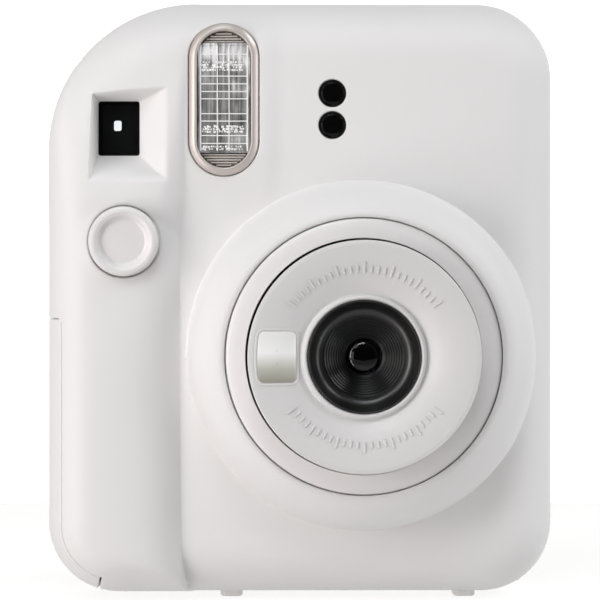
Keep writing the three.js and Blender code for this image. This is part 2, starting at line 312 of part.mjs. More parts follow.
// ---------------------------------------------------------------- power
const CELL_X = -39.3, CELL_Y = [-4.6, 10.4], CELL_Z = [8.4, 58.0];
for (const [n, y, up] of [['battery_cell_a', CELL_Y[0], 1], ['battery_cell_b', CELL_Y[1], -1]]) {
  const [z0, z1] = CELL_Z;
  add(n, up > 0 ? union(cylZ(CELL_X, y, 7.1, z0, z1 - 1, 24), cylZ(CELL_X, y, 2.6, z1 - 2, z1, 12)) : union(cylZ(CELL_X, y, 7.1, z0 + 1, z1, 24), cylZ(CELL_X, y, 2.6, z0, z0 + 2, 12)), 'cell', [CELL_X, y, 30]);
}
const trayHull = union(hull([[7, WALL + 0.4], ...gripLevels(WALL + 0.4).slice(1)]), hull(rearLevels(WALL + 0.4)));
add('battery_tray', cut(box(-39.0, -30.6, -13.4, 19.6, 6.2, 60.2), box(-60, -31.9, -12.2, 18.4, 7.4, 59.0)).intersect(trayHull), 'black');
add('battery_contact_bridge', box(-38.6, -33.0, -9, 14.8, 7.7, 8.05), 'steel');
add('battery_contact_positive', box(-38.6, -33.0, -8.1, -1.1, 58.35, 58.7), 'steel');
add('battery_contact_negative', box(-38.6, -33.0, 6.9, 13.9, 58.35, 58.7), 'steel');

// ---------------------------------------------------------------- case screws, driven in from below
for (const [n, x, y, z] of [['case_screw_left', -25, -1, 6.4], ['case_screw_right', 44, -1, 7.4]])
  add(n, cylZ(x, y, 1.05, x < 0 ? 1.4 : 3.2, z, 12), 'steel', [x, y, 4]);

export default camera;
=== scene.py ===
# Visual model of the instant camera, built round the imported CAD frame.
# Lengths in this script are millimetres and are scaled to metres when a mesh is made.
import json
import math
import bpy
import bmesh
import numpy as np
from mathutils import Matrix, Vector
from mathutils.geometry import delaunay_2d_cdt


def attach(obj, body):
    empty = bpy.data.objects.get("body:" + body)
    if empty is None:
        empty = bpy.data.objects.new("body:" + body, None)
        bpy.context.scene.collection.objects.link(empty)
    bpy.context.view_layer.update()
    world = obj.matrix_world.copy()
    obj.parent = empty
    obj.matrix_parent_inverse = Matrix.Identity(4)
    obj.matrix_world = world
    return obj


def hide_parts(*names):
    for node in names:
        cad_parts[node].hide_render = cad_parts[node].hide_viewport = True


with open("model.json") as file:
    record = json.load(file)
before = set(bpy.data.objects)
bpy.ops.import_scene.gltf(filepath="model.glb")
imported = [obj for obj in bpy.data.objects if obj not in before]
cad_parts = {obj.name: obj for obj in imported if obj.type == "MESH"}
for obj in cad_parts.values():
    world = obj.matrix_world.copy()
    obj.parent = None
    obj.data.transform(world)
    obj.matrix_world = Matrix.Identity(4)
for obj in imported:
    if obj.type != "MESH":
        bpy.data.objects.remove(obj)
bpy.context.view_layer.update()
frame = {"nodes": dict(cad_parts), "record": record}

MM = 0.001

# ------------------------------------------------------------------ dimensions shared with the CAD part
W2, HGT, FOOT = 52.0, 122.0, 0.6
R_TL, R_TR, R_BR, R_BL = 31.0, 16.0, 15.0, 15.0
SEAM = 6.0
LX, LZ = 12.35, 49.7
FLX, FLZ, FLW, FLH = -15.4, 101.1, 14.75, 30.8
BTX, BTZ, R_BTN = -35.4, 72.5, 7.0
SNX, SNZ, R_SN = 6.4, (102.4, 96.0), 2.75
PIN_X, PIN_Y = 48.2, 27.0
DOOR = dict(x0=-22.3, x1=44.5, z0=7.7, z1=104.9)
KNUCKLES = ((20, 34), (80, 94))


# ------------------------------------------------------------------ small maths
def smin(a, b, k):
    k = np.maximum(k, 1e-6)
    h = np.clip(0.5 + 0.5 * (b - a) / k, 0, 1)
    return b * (1 - h) + a * h - k * h * (1 - h)


def smax(a, b, k):
    return -smin(-a, -b, k)


def sstep(a, b, x):
    t = np.clip((x - a) / (b - a), 0, 1)
    return t * t * (3 - 2 * t)


def outline(X, Z):
    """Inward distance from the body's outline, and the outward direction."""
    X = np.asarray(X, float); Z = np.asarray(Z, float)
    edges = np.stack([X + W2, W2 - X, Z - FOOT, HGT - Z])
    k = edges.argmin(0)
    d = edges.min(0)
    gx = np.select([k == 0, k == 1], [-1.0, 1.0], 0.0)
    gz = np.select([k == 2, k == 3], [-1.0, 1.0], 0.0)
    for cx, cz, r, sx, sz in ((-W2 + R_TL, HGT - R_TL, R_TL, -1, 1), (W2 - R_TR, HGT - R_TR, R_TR, 1, 1),
                              (W2 - R_BR, FOOT + R_BR, R_BR, 1, -1), (-W2 + R_BL, FOOT + R_BL, R_BL, -1, -1)):
        m = ((X - cx) * sx > 0) & ((Z - cz) * sz > 0)
        q = np.hypot(X - cx, Z - cz)
        qs = np.maximum(q, 1e-9)
        d = np.where(m, r - q, d)
        gx = np.where(m, (X - cx) / qs, gx)
        gz = np.where(m, (Z - cz) / qs, gz)
    return d, gx, gz


def outline_loop(d, step):
    """Points of the outline moved inwards by d (negative is outwards)."""
    pts = []
    for cx, cz, r, a0 in ((W2 - R_TR, HGT - R_TR, R_TR, 0), (-W2 + R_TL, HGT - R_TL, R_TL, 90),
                          (-W2 + R_BL, FOOT + R_BL, R_BL, 180), (W2 - R_BR, FOOT + R_BR, R_BR, 270)):
        q = max(r - d, 0.01)
        n = max(2, int(math.ceil(q * math.pi / 2 / step)))
        for i in range(n + 1):
            a = math.radians(a0 + 90 * i / n)
            pts.append((cx + q * math.cos(a), cz + q * math.sin(a)))
    return resample(np.array(pts), step, closed=True, keep=True)


def resample(p, step, closed=True, keep=False):
    """Splits long edges so that no stretch is longer than step."""
    out = []
    n = len(p)
    for i in range(n if closed else n - 1):
        a, b = p[i], p[(i + 1) % n]
        L = float(np.hypot(*(b - a)))
        if L < 1e-9:
            continue
        k = max(1, int(math.ceil(L / step)))
        for j in range(k):
            out.append(a + (b - a) * j / k)
    if not closed:
        out.append(p[-1])
    return np.array(out)


def circle(cx, cz, r, step):
    n = max(16, int(math.ceil(2 * math.pi * r / step)))
    a = np.arange(n) * 2 * math.pi / n
    return np.stack([cx + r * np.cos(a), cz + r * np.sin(a)], 1)


def rrect_loop(x0, x1, z0, z1, r, step, off=0.0):
    """Rounded rectangle, grown by off."""
    x0, x1, z0, z1 = x0 - off, x1 + off, z0 - off, z1 + off
    r = max(min(r + off, (x1 - x0) / 2, (z1 - z0) / 2), 0.02)
    pts = []
    for cx, cz, a0 in ((x1 - r, z1 - r, 0), (x0 + r, z1 - r, 90), (x0 + r, z0 + r, 180), (x1 - r, z0 + r, 270)):
        n = max(3, int(math.ceil(r * math.pi / 2 / step)))
        for i in range(n + 1):
            a = math.radians(a0 + 90 * i / n)
            pts.append((cx + r * math.cos(a), cz + r * math.sin(a)))
    return resample(np.array(pts), step)


def rrect_dist(X, Z, x0, x1, z0, z1, r):
    """Distance outside a rounded rectangle (negative inside)."""
    cx, cz = (x0 + x1) / 2, (z0 + z1) / 2
    qx = np.abs(X - cx) - (x1 - x0) / 2 + r
    qz = np.abs(Z - cz) - (z1 - z0) / 2 + r
    return np.hypot(np.maximum(qx, 0), np.maximum(qz, 0)) + np.minimum(np.maximum(qx, qz), 0) - r


def in_poly(X, Z, poly):
    inside = np.zeros(X.shape, bool)
    n = len(poly)
    j = n - 1
    for i in range(n):
        xi, zi = poly[i]; xj, zj = poly[j]
        c = ((zi > Z) != (zj > Z)) & (X < (xj - xi) * (Z - zi) / (zj - zi + 1e-30) + xi)
        inside ^= c
        j = i
    return inside


def poly_dist(X, Z, poly):
    best = np.full(X.shape, 1e9)
    n = len(poly)
    for i in range(n):
        a = poly[i]; b = poly[(i + 1) % n]
        ab = b - a
        t = np.clip(((X - a[0]) * ab[0] + (Z - a[1]) * ab[1]) / max(ab @ ab, 1e-12), 0, 1)
        best = np.minimum(best, np.hypot(X - a[0] - t * ab[0], Z - a[1] - t * ab[1]))
    return best


def edge_drop(t, r):
    """How far a rounded edge of radius r has fallen at distance t from the edge."""
    t = np.clip(t, 0, r)
    return r - np.sqrt(np.maximum(r * r - (r - t) ** 2, 0))


# ------------------------------------------------------------------ mesh building
def make_object(name, verts, faces, smooth=True, auto=None):
    me = bpy.data.meshes.new(name)
    me.from_pydata([tuple(v) for v in (np.asarray(verts, float) * MM)], [], [tuple(int(i) for i in f) for f in faces])
    me.validate()
    me.update()
    o = bpy.data.objects.new(name, me)
    bpy.context.scene.collection.objects.link(o)
    if smooth:
        me.shade_smooth()
    if auto is not None:
        me.set_sharp_from_angle(angle=math.radians(auto))
    return o


def join_parts(parts):
    """[(verts, faces)] into one (verts, faces)."""
    V, F, k = [], [], 0
    for v, f in parts:
        v = np.asarray(v, float)
        V.append(v)
        F.extend([[i + k for i in q] for q in f])
        k += len(v)
    return np.concatenate(V), F


class Sheet:
    """A curved wall made from a flat layout of points: a layout point (X, Z) goes to pos(X, Z)."""

    def __init__(self, outer, holes, hole_tests):
        self.loops = [np.asarray(outer)] + [np.asarray(h) for h in holes]
        self.tests = hole_tests
        self.extra = []
        self.cell = {}

    def _key(self, p, c):
        return (int(math.floor(p[0] / c)), int(math.floor(p[1] / c)))

    def add(self, pts, dmin):
        """Feature points, dropped where they come closer than dmin to what is there already."""
        self.extra.append((np.asarray(pts), dmin))

    def build(self, pos, smooth_pos, thick, inside, eps=0.02):
        c = 1.2
        grid = {}

        def near(p, dmin):
            kx, kz = self._key(p, c)
            m = int(math.ceil(dmin / c))
            for i in range(kx - m, kx + m + 1):
                for j in range(kz - m, kz + m + 1):
                    for q in grid.get((i, j), ()):
                        if (q[0] - p[0]) ** 2 + (q[1] - p[1]) ** 2 < dmin * dmin:
                            return True
            return False

        pts, edges = [], []
        for lp in self.loops:
            k = len(pts)
            n = len(lp)
            for i, p in enumerate(lp):
                pts.append((float(p[0]), float(p[1])))
                grid.setdefault(self._key(p, c), []).append(pts[-1])
                edges.append((k + i, k + (i + 1) % n))
        for P, dmin in self.extra:
            ok = inside(P[:, 0], P[:, 1])
            for p in P[ok]:
                p = (float(p[0]), float(p[1]))
                if not near(p, dmin):
                    pts.append(p)
                    grid.setdefault(self._key(p, c), []).append(p)
        r = delaunay_2d_cdt([Vector(p) for p in pts], edges, [], 0, 1e-5)
        co = np.array([tuple(v) for v in r[0]])
        tri = np.array([f for f in r[2] if len(f) == 3])
        cen = co[tri].mean(1)
        keep = inside(cen[:, 0], cen[:, 1])
        tri = tri[keep]
        # drop slivers with no area
        a = co[tri[:, 1]] - co[tri[:, 0]]; b = co[tri[:, 2]] - co[tri[:, 0]]
        area = a[:, 0] * b[:, 1] - a[:, 1] * b[:, 0]
        tri = tri[np.abs(area) > 1e-9]
        area = area[np.abs(area) > 1e-9]
        tri[area < 0] = tri[area < 0][:, ::-1]
        used = np.unique(tri)
        remap = -np.ones(len(co), int); remap[used] = np.arange(len(used))
        co = co[used]; tri = remap[tri]
        X, Z = co[:, 0], co[:, 1]
        P = np.stack(pos(X, Z), 1)
        h = eps
        S = np.stack(smooth_pos(X, Z), 1)
        du = np.stack(smooth_pos(X + h, Z), 1) - np.stack(smooth_pos(X - h, Z), 1)
        dv = np.stack(smooth_pos(X, Z + h), 1) - np.stack(smooth_pos(X, Z - h), 1)
        n = np.cross(du, dv)
        n /= np.maximum(np.linalg.norm(n, axis=1, keepdims=True), 1e-12)
        return co, tri, P, S, n


def close_wall(co, tri, P, Q, outward_positive):
    """Outer skin P and inner skin Q over the same layout, joined along every open edge."""
    n = len(P)
    edges = {}
    for t in tri:
        for a, b in ((t[0], t[1]), (t[1], t[2]), (t[2], t[0])):
            edges[(a, b)] = True
    rim = [(a, b) for (a, b) in edges if (b, a) not in edges]
    V = np.concatenate([P, Q])
    F = []
    for t in tri:
        a, b, c = map(int, t)
        if outward_positive:
            F.append((a, b, c)); F.append((n + a, n + c, n + b))
        else:
            F.append((a, c, b)); F.append((n + a, n + b, n + c))
    for a, b in rim:
        a, b = int(a), int(b)
        if outward_positive:
            F.append((b, a, n + a, n + b))
        else:
            F.append((a, b, n + b, n + a))
    return V, F


def hexgrid(x0, x1, z0, z1, s):
    rows = []
    k = 0
    z = z0
    while z <= z1:
        xs = np.arange(x0 + (s / 2 if k % 2 else 0), x1, s)
        rows.append(np.stack([xs, np.full(len(xs), z)], 1))
        z += s * math.sqrt(3) / 2
        k += 1
    return np.concatenate(rows)


def round_profile(pts, n=5):
    """[(r, y, fillet)] into a polyline with each corner rounded by its fillet radius."""
    out = []
    P = [np.array(p[:2], float) for p in pts]
    for i, p in enumerate(pts):
        f = p[2] if len(p) > 2 else 0
        if f <= 0 or i == 0 or i == len(pts) - 1:
            out.append(P[i]); continue
        a = P[i - 1] - P[i]; b = P[i + 1] - P[i]
        la, lb = np.hypot(*a), np.hypot(*b)
        a, b = a / la, b / lb
        ang = math.acos(np.clip(a @ b, -1, 1))
        if ang > math.pi - 0.02:
            out.append(P[i]); continue
        t = min(f / math.tan(ang / 2), la * 0.49, lb * 0.49)
        r = t * math.tan(ang / 2)
        bis = a + b
        c = P[i] + bis / np.hypot(*bis) * (r / math.sin(ang / 2))
        s, e = P[i] + a * t, P[i] + b * t
        a0 = math.atan2(*(s - c)[::-1]); a1 = math.atan2(*(e - c)[::-1])
        da = (a1 - a0 + math.pi) % (2 * math.pi) - math.pi
        for k in range(n + 1):
            q = a0 + da * k / n
            out.append(c + r * np.array([math.cos(q), math.sin(q)]))
    return np.array(out)


def revolve(profile, cx, cz, n=160, closed=True):
    """Closed profile of (r, y) turned about the axis along Y through (cx, cz)."""
    prof = [tuple(p) for p in profile]
    V, F = [], []
    rings = []
    for r, y in prof:
        if r < 1e-6:
            rings.append([len(V)]); V.append((cx, y, cz))
        else:
            rings.append(list(range(len(V), len(V) + n)))
            for k in range(n):
                a = 2 * math.pi * k / n
                V.append((cx + r * math.cos(a), y, cz + r * math.sin(a)))
    m = len(prof)
    last = m if closed and prof[0][0] > 1e-6 and prof[-1][0] > 1e-6 else m - 1
    for i in range(last):
        A, B = rings[i], rings[(i + 1) % m]
        for k in range(n):
            k2 = (k + 1) % n
            if len(A) == 1 and len(B) == 1:
                break
            if len(A) == 1:
                F.append((A[0], B[k2], B[k]))
            elif len(B) == 1:
                F.append((A[k], A[k2], B[0]))
            else:
                F.append((A[k], A[k2], B[k2], B[k]))
    return orient(np.array(V), F)


def orient(V, F):
    """Turns every face over if the closed mesh is inside out."""
    V = np.asarray(V, float)
    vol = 0.0
    for f in F:
        for i in range(1, len(f) - 1):
            vol += np.dot(V[f[0]], np.cross(V[f[i]], V[f[i + 1]]))
    if vol < 0:
        F = [tuple(reversed(f)) for f in F]
    return V, F


def loft_loops(loops, close_first=True, close_last=True):
    """Loops of equal length (n, 3) joined in order, with flat ends made as fans round their centres."""
    V = []
    n = len(loops[0])
    for L in loops:
        V.extend(map(tuple, L))
    F = []
    for k in range(len(loops) - 1):
        for i in range(n):
            j = (i + 1) % n
            F.append((k * n + i, k * n + j, (k + 1) * n + j, (k + 1) * n + i))
    if close_first:
        V.append(tuple(np.mean(loops[0], 0))); c = len(V) - 1
        F.extend((c, (i + 1) % n, i) for i in range(n))
    if close_last:
        V.append(tuple(np.mean(loops[-1], 0))); c = len(V) - 1; b = (len(loops) - 1) * n
        F.extend((c, b + i, b + (i + 1) % n) for i in range(n))
    return orient(np.array(V), F)


def at_y(loop2, y):
    return np.stack([loop2[:, 0], np.full(len(loop2), float(y)) if np.isscalar(y) else y, loop2[:, 1]], 1)


def rounded_plate(loop_fn, y0, y1, r, n=4):
    """A plate between y0 (front) and y1 with its front edge rounded by r. loop_fn(off) gives the outline grown by off."""
    loops = []
    s = 1 if y1 > y0 else -1
    for k in range(n + 1):
        a = math.pi / 2 * k / n
        loops.append(at_y(loop_fn(-r * (1 - math.sin(a))), y0 + s * r * (1 - math.cos(a))))
    loops.append(at_y(loop_fn(0), y1))
    return loops


# ------------------------------------------------------------------ the front skin as a height field
D_BODY, Y_EDGE, Y_FACE = 12.5, -2.0, -14.4
BUMP_R = np.array([27.4, 27.7, 28.4, 29.4, 30.6, 31.8, 32.9, 33.8, 34.5, 35.0, 35.35, 35.6])
BUMP_Y = np.array([-28.05, -28.2, -28.15, -27.75, -26.95, -25.7, -24.0, -21.9, -19.4, -16.6, -13.6, -10.0])


def y_body(x, z, d):
    t = np.clip(1 - d / D_BODY, 0, 1)
    y = Y_EDGE - (Y_EDGE - Y_FACE) * np.sqrt(np.maximum(1 - t ** 2.15, 0))
    # the face is very slightly crowned
    return y - 0.55 * np.clip(1 - ((x - 6) / 60) ** 2 - ((z - 70) / 75) ** 2, 0, 1)


def y_grip(x, z, d):
    t = np.clip(1 - d / 13.6, 0, 1)
    hull = -3.0 - 16.7 * np.sqrt(np.maximum(1 - t ** 2.35, 0))
    u = np.clip((x + 38.5) / 16.0, 0, 1.0)
    slope = -10.6 - 9.05 * np.sqrt(np.maximum(1 - u ** 2, 0)) + smax(x + 24.1, 0.0, 0.02 + 5.0 * sstep(73, 82, z)) * 3
    w = np.clip((z - 62) / 42.0, 0, 1)
    fade = -19.75 + 9.5 * w ** 2.1 + np.maximum(z - 104, 0) * 0.5
    return smax(smax(hull, slope, 1.2), fade, 3.0)


def y_bump(x, z):
    r = np.hypot(x - LX, z - LZ)
    y = np.interp(r, BUMP_R, BUMP_Y)
    return np.where(r > 35.6, -10.0 + (r - 35.6) * 6, y)


# sloped recess round the finder window: from these corners on the surface down to the window
REC = dict(x0=-40.85, x1=-32.5, z0=89.95, z1=100.95, y=-11.6)
REC_OUT = ((-42.05, 102.5), (-26.5, 103.8), (-26.2, 84.25), (-42.6, 84.25))     # top left, top right, bottom right, bottom left


def recess_t(x, z):
    """0 outside the recess, rising to 1 at the window."""
    (ax, az), (bx, bz), (cx, cz), (dx, dz) = REC_OUT
    xl = dx + (ax - dx) * (z - dz) / (az - dz)
    xr = cx + (bx - cx) * (z - cz) / (bz - cz)
    zt = az + (bz - az) * (x - ax) / (bx - ax)
    zb = dz + (cz - dz) * (x - dx) / (cx - dx)
    t = smin(smin((x - xl) / (REC["x0"] - xl), (xr - x) / (xr - REC["x1"]), 0.07),
             smin((zt - z) / (zt - REC["z1"]), (z - zb) / (REC["z0"] - zb), 0.07), 0.07)
    t = np.clip(t, 0, 1)
    a = 0.2
    return np.where(t < a, t * t / (2 * a), t - a / 2) / (1 - a / 2)


def y_front(x, z, d):
    a = np.degrees(np.arctan2(z - LZ, x - LX))
    soft = 0.35 + 5.0 * np.exp(-((a - 138) / 26.0) ** 2)        # melts into the face towards the grip's top
    body = y_body(x, z, d) - 1.2 * sstep(-3.0, -7.8, x) * sstep(76, 92, z) * sstep(0, 9, d)
    base = smin(body, y_grip(x, z, d), 0.12 + 9.0 * sstep(73, 82, z))
    y = smin(base, y_bump(x, z), soft)
    y = y + (REC["y"] - y) * recess_t(x, z)
    return y


def front_smooth(X, Z):
    """Layout point to surface: inside the outline it is the height field, outside it is the side wall."""
    d, gx, gz = outline(X, Z)
    out = np.maximum(-d, 0)
    x = X - out * gx
    z = Z - out * gz
    y = y_front(x, z, np.maximum(d, 0))
    y = y + (SEAM - y) * np.clip(out / 8.0, 0, 1)
    # moulding draft: the side wall leans in a little from the seam forwards
    draft = 0.55 * np.clip((SEAM - y) / 8.0, 0, 1.1) * np.clip(1 - np.maximum(d, 0) / 12.0, 0, 1) ** 2
    return x - draft * gx, y, z - draft * gz


# layout loops of the holes in the front cover
STEP = 0.9
FLV = FLW - 0.6       # visible width of the bezel
flash_loop = lambda off=0.0: rrect_loop(FLX - FLV / 2, FLX + FLV / 2, FLZ - FLH / 2, FLZ + FLH / 2, FLV / 2, 0.55, off + 0.08)
RD = 13 * math.pi / 180
COVER_D = 3.55        # how far the battery cover's front seam lies in from the outline
COVER_TOP = 57.0


def cover_region(d, X, Z):
    """Signed distance into the battery cover's part of the layout (positive inside)."""
    ang = np.degrees(np.arctan2(Z - (FOOT + R_BL), X - (-W2 + R_BL)))
    low = (Z < FOOT + R_BL)
    # along the lower corner, the cover ends on a ray at 252 degrees (measured as -108)
    ray = np.radians(-106.0)
    side = (X - (-W2 + R_BL)) * math.sin(ray) - (Z - (FOOT + R_BL)) * math.cos(ray)
    s = np.minimum(COVER_D - d, COVER_TOP - Z)
    s = np.where(low, np.minimum(s, side), s)
    s = np.where(X > -W2 + R_BL + 4, -5.0, s)
    return s


def cover_loop(off):
    """The battery cover's edge in the front cover's layout, moved outwards by off; it runs past the seam."""
    cx, cz = -W2 + R_BL, FOOT + R_BL
    D = COVER_D + off
    far = -8.0
    pts = []
    x_in = -W2 + D
    top = COVER_TOP + off
    pts += [(-W2 + far, top)] + [(v, top) for v in np.linspace(-W2 + far, x_in - 1.2, 12)[1:]]
    for k in range(1, 7):
        a = math.radians(90 - 90 * k / 6)
        pts.append((x_in - 1.2 + 1.2 * math.cos(a), top - 1.2 + 1.2 * math.sin(a)))
    pts += [(x_in, v) for v in np.linspace(top - 1.2, cz, 48)[1:]]
    a_end = 180 + 74
    for a in np.linspace(180, a_end, 30)[1:]:
        pts.append((cx + (R_BL - D) * math.cos(math.radians(a)), cz + (R_BL - D) * math.sin(math.radians(a))))
    ar = math.radians(a_end)
    nx, nz = -math.sin(ar) * off, math.cos(ar) * off
    for q in np.linspace(R_BL - D, R_BL - far, 14):
        pts.append((cx + q * math.cos(ar) + nx, cz + q * math.sin(ar) + nz))
    return np.array(pts)


def build_front():
    base = outline_loop(-8.0, 1.5)
    cl = cover_loop(0.09)
    # outer layout boundary: the seam line, with the battery cover's region bitten out of it
    inside_cover = in_poly(base[:, 0], base[:, 1], np.concatenate([cl, [[-W2 - 12, FOOT - 12]], [[-W2 - 12, COVER_TOP + 0.09]]]))
    n = len(base)
    k0 = [i for i in range(n) if not inside_cover[i] and inside_cover[i - 1]][0]
    keep = [base[(k0 + i) % n] for i in range(n) if not inside_cover[(k0 + i) % n]]
    # base runs anticlockwise: top, left side downwards, bottom; so after the cover come the bottom, right and top
    outer = np.array(keep + list(resample(cl, 0.9, closed=False)))
    holes = [circle(LX, LZ, 27.4, 0.8), flash_loop(0), rrect_loop(REC["x0"], REC["x1"], REC["z0"], REC["z1"], 0.5, 0.6),
             circle(BTX, BTZ, R_BTN + 0.28, 0.6)] + [circle(SNX, z, R_SN + 0.08, 0.4) for z in SNZ]

    def inside(X, Z):
        ok = in_poly(X, Z, outer)
        ok &= np.hypot(X - LX, Z - LZ) > 27.39
        ok &= rrect_dist(X, Z, FLX - FLV / 2 - 0.08, FLX + FLV / 2 + 0.08, FLZ - FLH / 2 - 0.08, FLZ + FLH / 2 + 0.08, FLV / 2 + 0.08) > -0.004
        ok &= rrect_dist(X, Z, REC["x0"], REC["x1"], REC["z0"], REC["z1"], 0.5) > -0.004
        ok &= np.hypot(X - BTX, Z - BTZ) > R_BTN + 0.27
        for z in SNZ:
            ok &= np.hypot(X - SNX, Z - z) > R_SN + 0.07
        return ok

    s = Sheet(outer, holes, None)
    for off in (0.1, 0.22, 0.4, 0.7, 1.2):
        s.add(circle(LX, LZ, 27.4 + off, 0.8), 0.07)
    for off in (0.12, 0.25, 0.42, 0.7, 1.1):
        s.add(flash_loop(off), 0.09)
        s.add(circle(BTX, BTZ, R_BTN + 0.28 + off, 0.6), 0.09)
        for z in SNZ:
            s.add(circle(SNX, z, R_SN + 0.08 + off, 0.45), 0.09)
    for off in (0.15, 0.35, 0.7):
        s.add(rrect_loop(REC["x0"], REC["x1"], REC["z0"], REC["z1"], 0.5, 0.6, off), 0.12)
    for off in (-0.12, -0.28, -0.5):
        pass
    for q in (0.1, 0.22, 0.4, 0.8):
        s.add(cover_loop(0.09 + q), 0.07)
    # folds of the recess, from the window's corners outwards, and its outer edge
    corners = [(REC["x0"], REC["z1"]), (REC["x1"], REC["z1"]), (REC["x1"], REC["z0"]), (REC["x0"], REC["z0"])]
    lines = [(c, o, 16) for c, o in zip(corners, REC_OUT)] + [(REC_OUT[i], REC_OUT[(i + 1) % 4], 44) for i in range(4)]
    for (ax, az), (bx, bz), m in lines:
        L = math.hypot(bx - ax, bz - az)
        nx, nz = -(bz - az) / L, (bx - ax) / L
        for t in np.linspace(0, 1.02, m):
            for o in (-0.45, -0.2, 0.0, 0.2, 0.45):
                s.add(np.array([[ax + (bx - ax) * t + nx * o, az + (bz - az) * t + nz * o]]), 0.15)
    s.add(hexgrid(-46, -23, 81, 107, 0.45), 0.3)
    # bump: rings, closest together at its foot
    for r in list(np.arange(28.4, 33.6, 0.7)) + [33.7, 34.05, 34.35, 34.6, 34.8, 34.95, 35.1, 35.25, 35.4, 35.55, 35.7, 35.9, 36.15, 36.5, 37.0, 37.8]:
        th = np.linspace(0, 2 * math.pi, 361)[:-1]
        s.add(np.stack([LX + r * np.cos(th), LZ + r * np.sin(th)], 1), 0.1)
    # finger crease
    for o in (-1.6, -1.1, -0.75, -0.5, -0.32, -0.2, -0.1, 0.0, 0.1, 0.2, 0.32, 0.5, 0.8, 1.3):
        zz = np.arange(FOOT - 8, 92, 0.9)
        s.add(np.stack([np.full(len(zz), -24.1 + o), zz], 1), 0.08)
    # side wall and the rounding of the body's edge
    for d in [-7.9, -7.75, -7.4, -6, -4, -2, -1, -0.4, 0] + [12.5 * (1 - math.cos(math.radians(a))) for a in range(5, 91, 5)]:
        s.add(outline_loop(d, 1.2), 0.05 if d < 0.5 else 0.3)
    s.add(hexgrid(-52, 52, 0, 122, 1.05), 0.62)

    def pos(X, Z):
        x, y, z = front_smooth(X, Z)
        y = y + edge_drop(np.hypot(X - LX, Z - LZ) - 27.4, 0.35)
        y = y + edge_drop(rrect_dist(X, Z, FLX - FLV / 2 - 0.08, FLX + FLV / 2 + 0.08, FLZ - FLH / 2 - 0.08, FLZ + FLH / 2 + 0.08, FLV / 2 + 0.08), 0.25)
        y = y + edge_drop(np.hypot(X - BTX, Z - BTZ) - R_BTN - 0.28, 0.4)
        for c in SNZ:
            y = y + edge_drop(np.hypot(X - SNX, Z - c) - R_SN - 0.08, 0.25)
        # a small chamfer along the seam and along the battery cover
        d, gx, gz = outline(X, Z)
        e = edge_drop(8.0 + d, 0.3)
        c = cover_region(d, X, Z)
        e = e + edge_drop(-c - 0.09, 0.14) * (d < 6)
        x = x - e * gx * 0.6; z = z - e * gz * 0.6
        y = y + e * 0.35 * (d > 0.3)
        return x, y, z

    co, tri, P, S, n = s.build(pos, front_smooth, 2.0, inside)
    flip = np.sign(np.median(n[:, 1][np.abs(outline(co[:, 0], co[:, 1])[0] - 20) < 10]))
    n = n * (flip if flip != 0 else 1)          # n points inwards, to +Y, on the face
    Q = S + n * 1.9
    # keep the inner skin behind the seam plane
    Q[:, 1] = np.minimum(Q[:, 1], SEAM)
    rim = np.abs(co[:, 0]) < 1e9
    V, F = close_wall(co, tri, P, Q, True)
    V, F = orient(V, F)
    return V, F



# ------------------------------------------------------------------ battery cover
def grid_wall(pos, us, vs, thick, du_edge, flip=None):
    """A closed wall over the grid us x vs: pos(u, v) gives the outer surface; the inner one lies thick behind it."""
    U, Vv = np.meshgrid(us, vs, indexing="ij")
    h = 0.02
    P = np.stack(pos(U, Vv), -1)
    a = np.stack(pos(U + h, Vv), -1) - np.stack(pos(U - h, Vv), -1)
    b = np.stack(pos(U, Vv + h), -1) - np.stack(pos(U, Vv - h), -1)
    n = np.cross(a, b)
    n /= np.maximum(np.linalg.norm(n, axis=-1, keepdims=True), 1e-12)
    cen = np.array([0.0, 4.0, 40.0])
    if np.sum(n * (P - cen)) < 0:
        n = -n
    drop = np.maximum(edge_drop(np.minimum(U - us[0], us[-1] - U), 0.14), edge_drop(np.minimum(Vv - vs[0], vs[-1] - Vv), 0.14))
    O = P - n * drop[..., None]
    I = P - n * thick
    m, k = U.shape
    idx = np.arange(m * k).reshape(m, k)
    V = np.concatenate([O.reshape(-1, 3), I.reshape(-1, 3)])
    F = []
    N = m * k
    for i in range(m - 1):
        for j in range(k - 1):
            a0, b0, c0, d0 = idx[i, j], idx[i + 1, j], idx[i + 1, j + 1], idx[i, j + 1]
            F.append((a0, b0, c0, d0)); F.append((N + a0, N + d0, N + c0, N + b0))
    rim = [idx[i, 0] for i in range(m)] + [idx[m - 1, j] for j in range(1, k)] + [idx[i, k - 1] for i in range(m - 2, -1, -1)] + [idx[0, j] for j in range(k - 2, 0, -1)]
    for i in range(len(rim)):
        a0, b0 = rim[i], rim[(i + 1) % len(rim)]
        F.append((b0, a0, N + a0, N + b0))
    return orient(V, F)


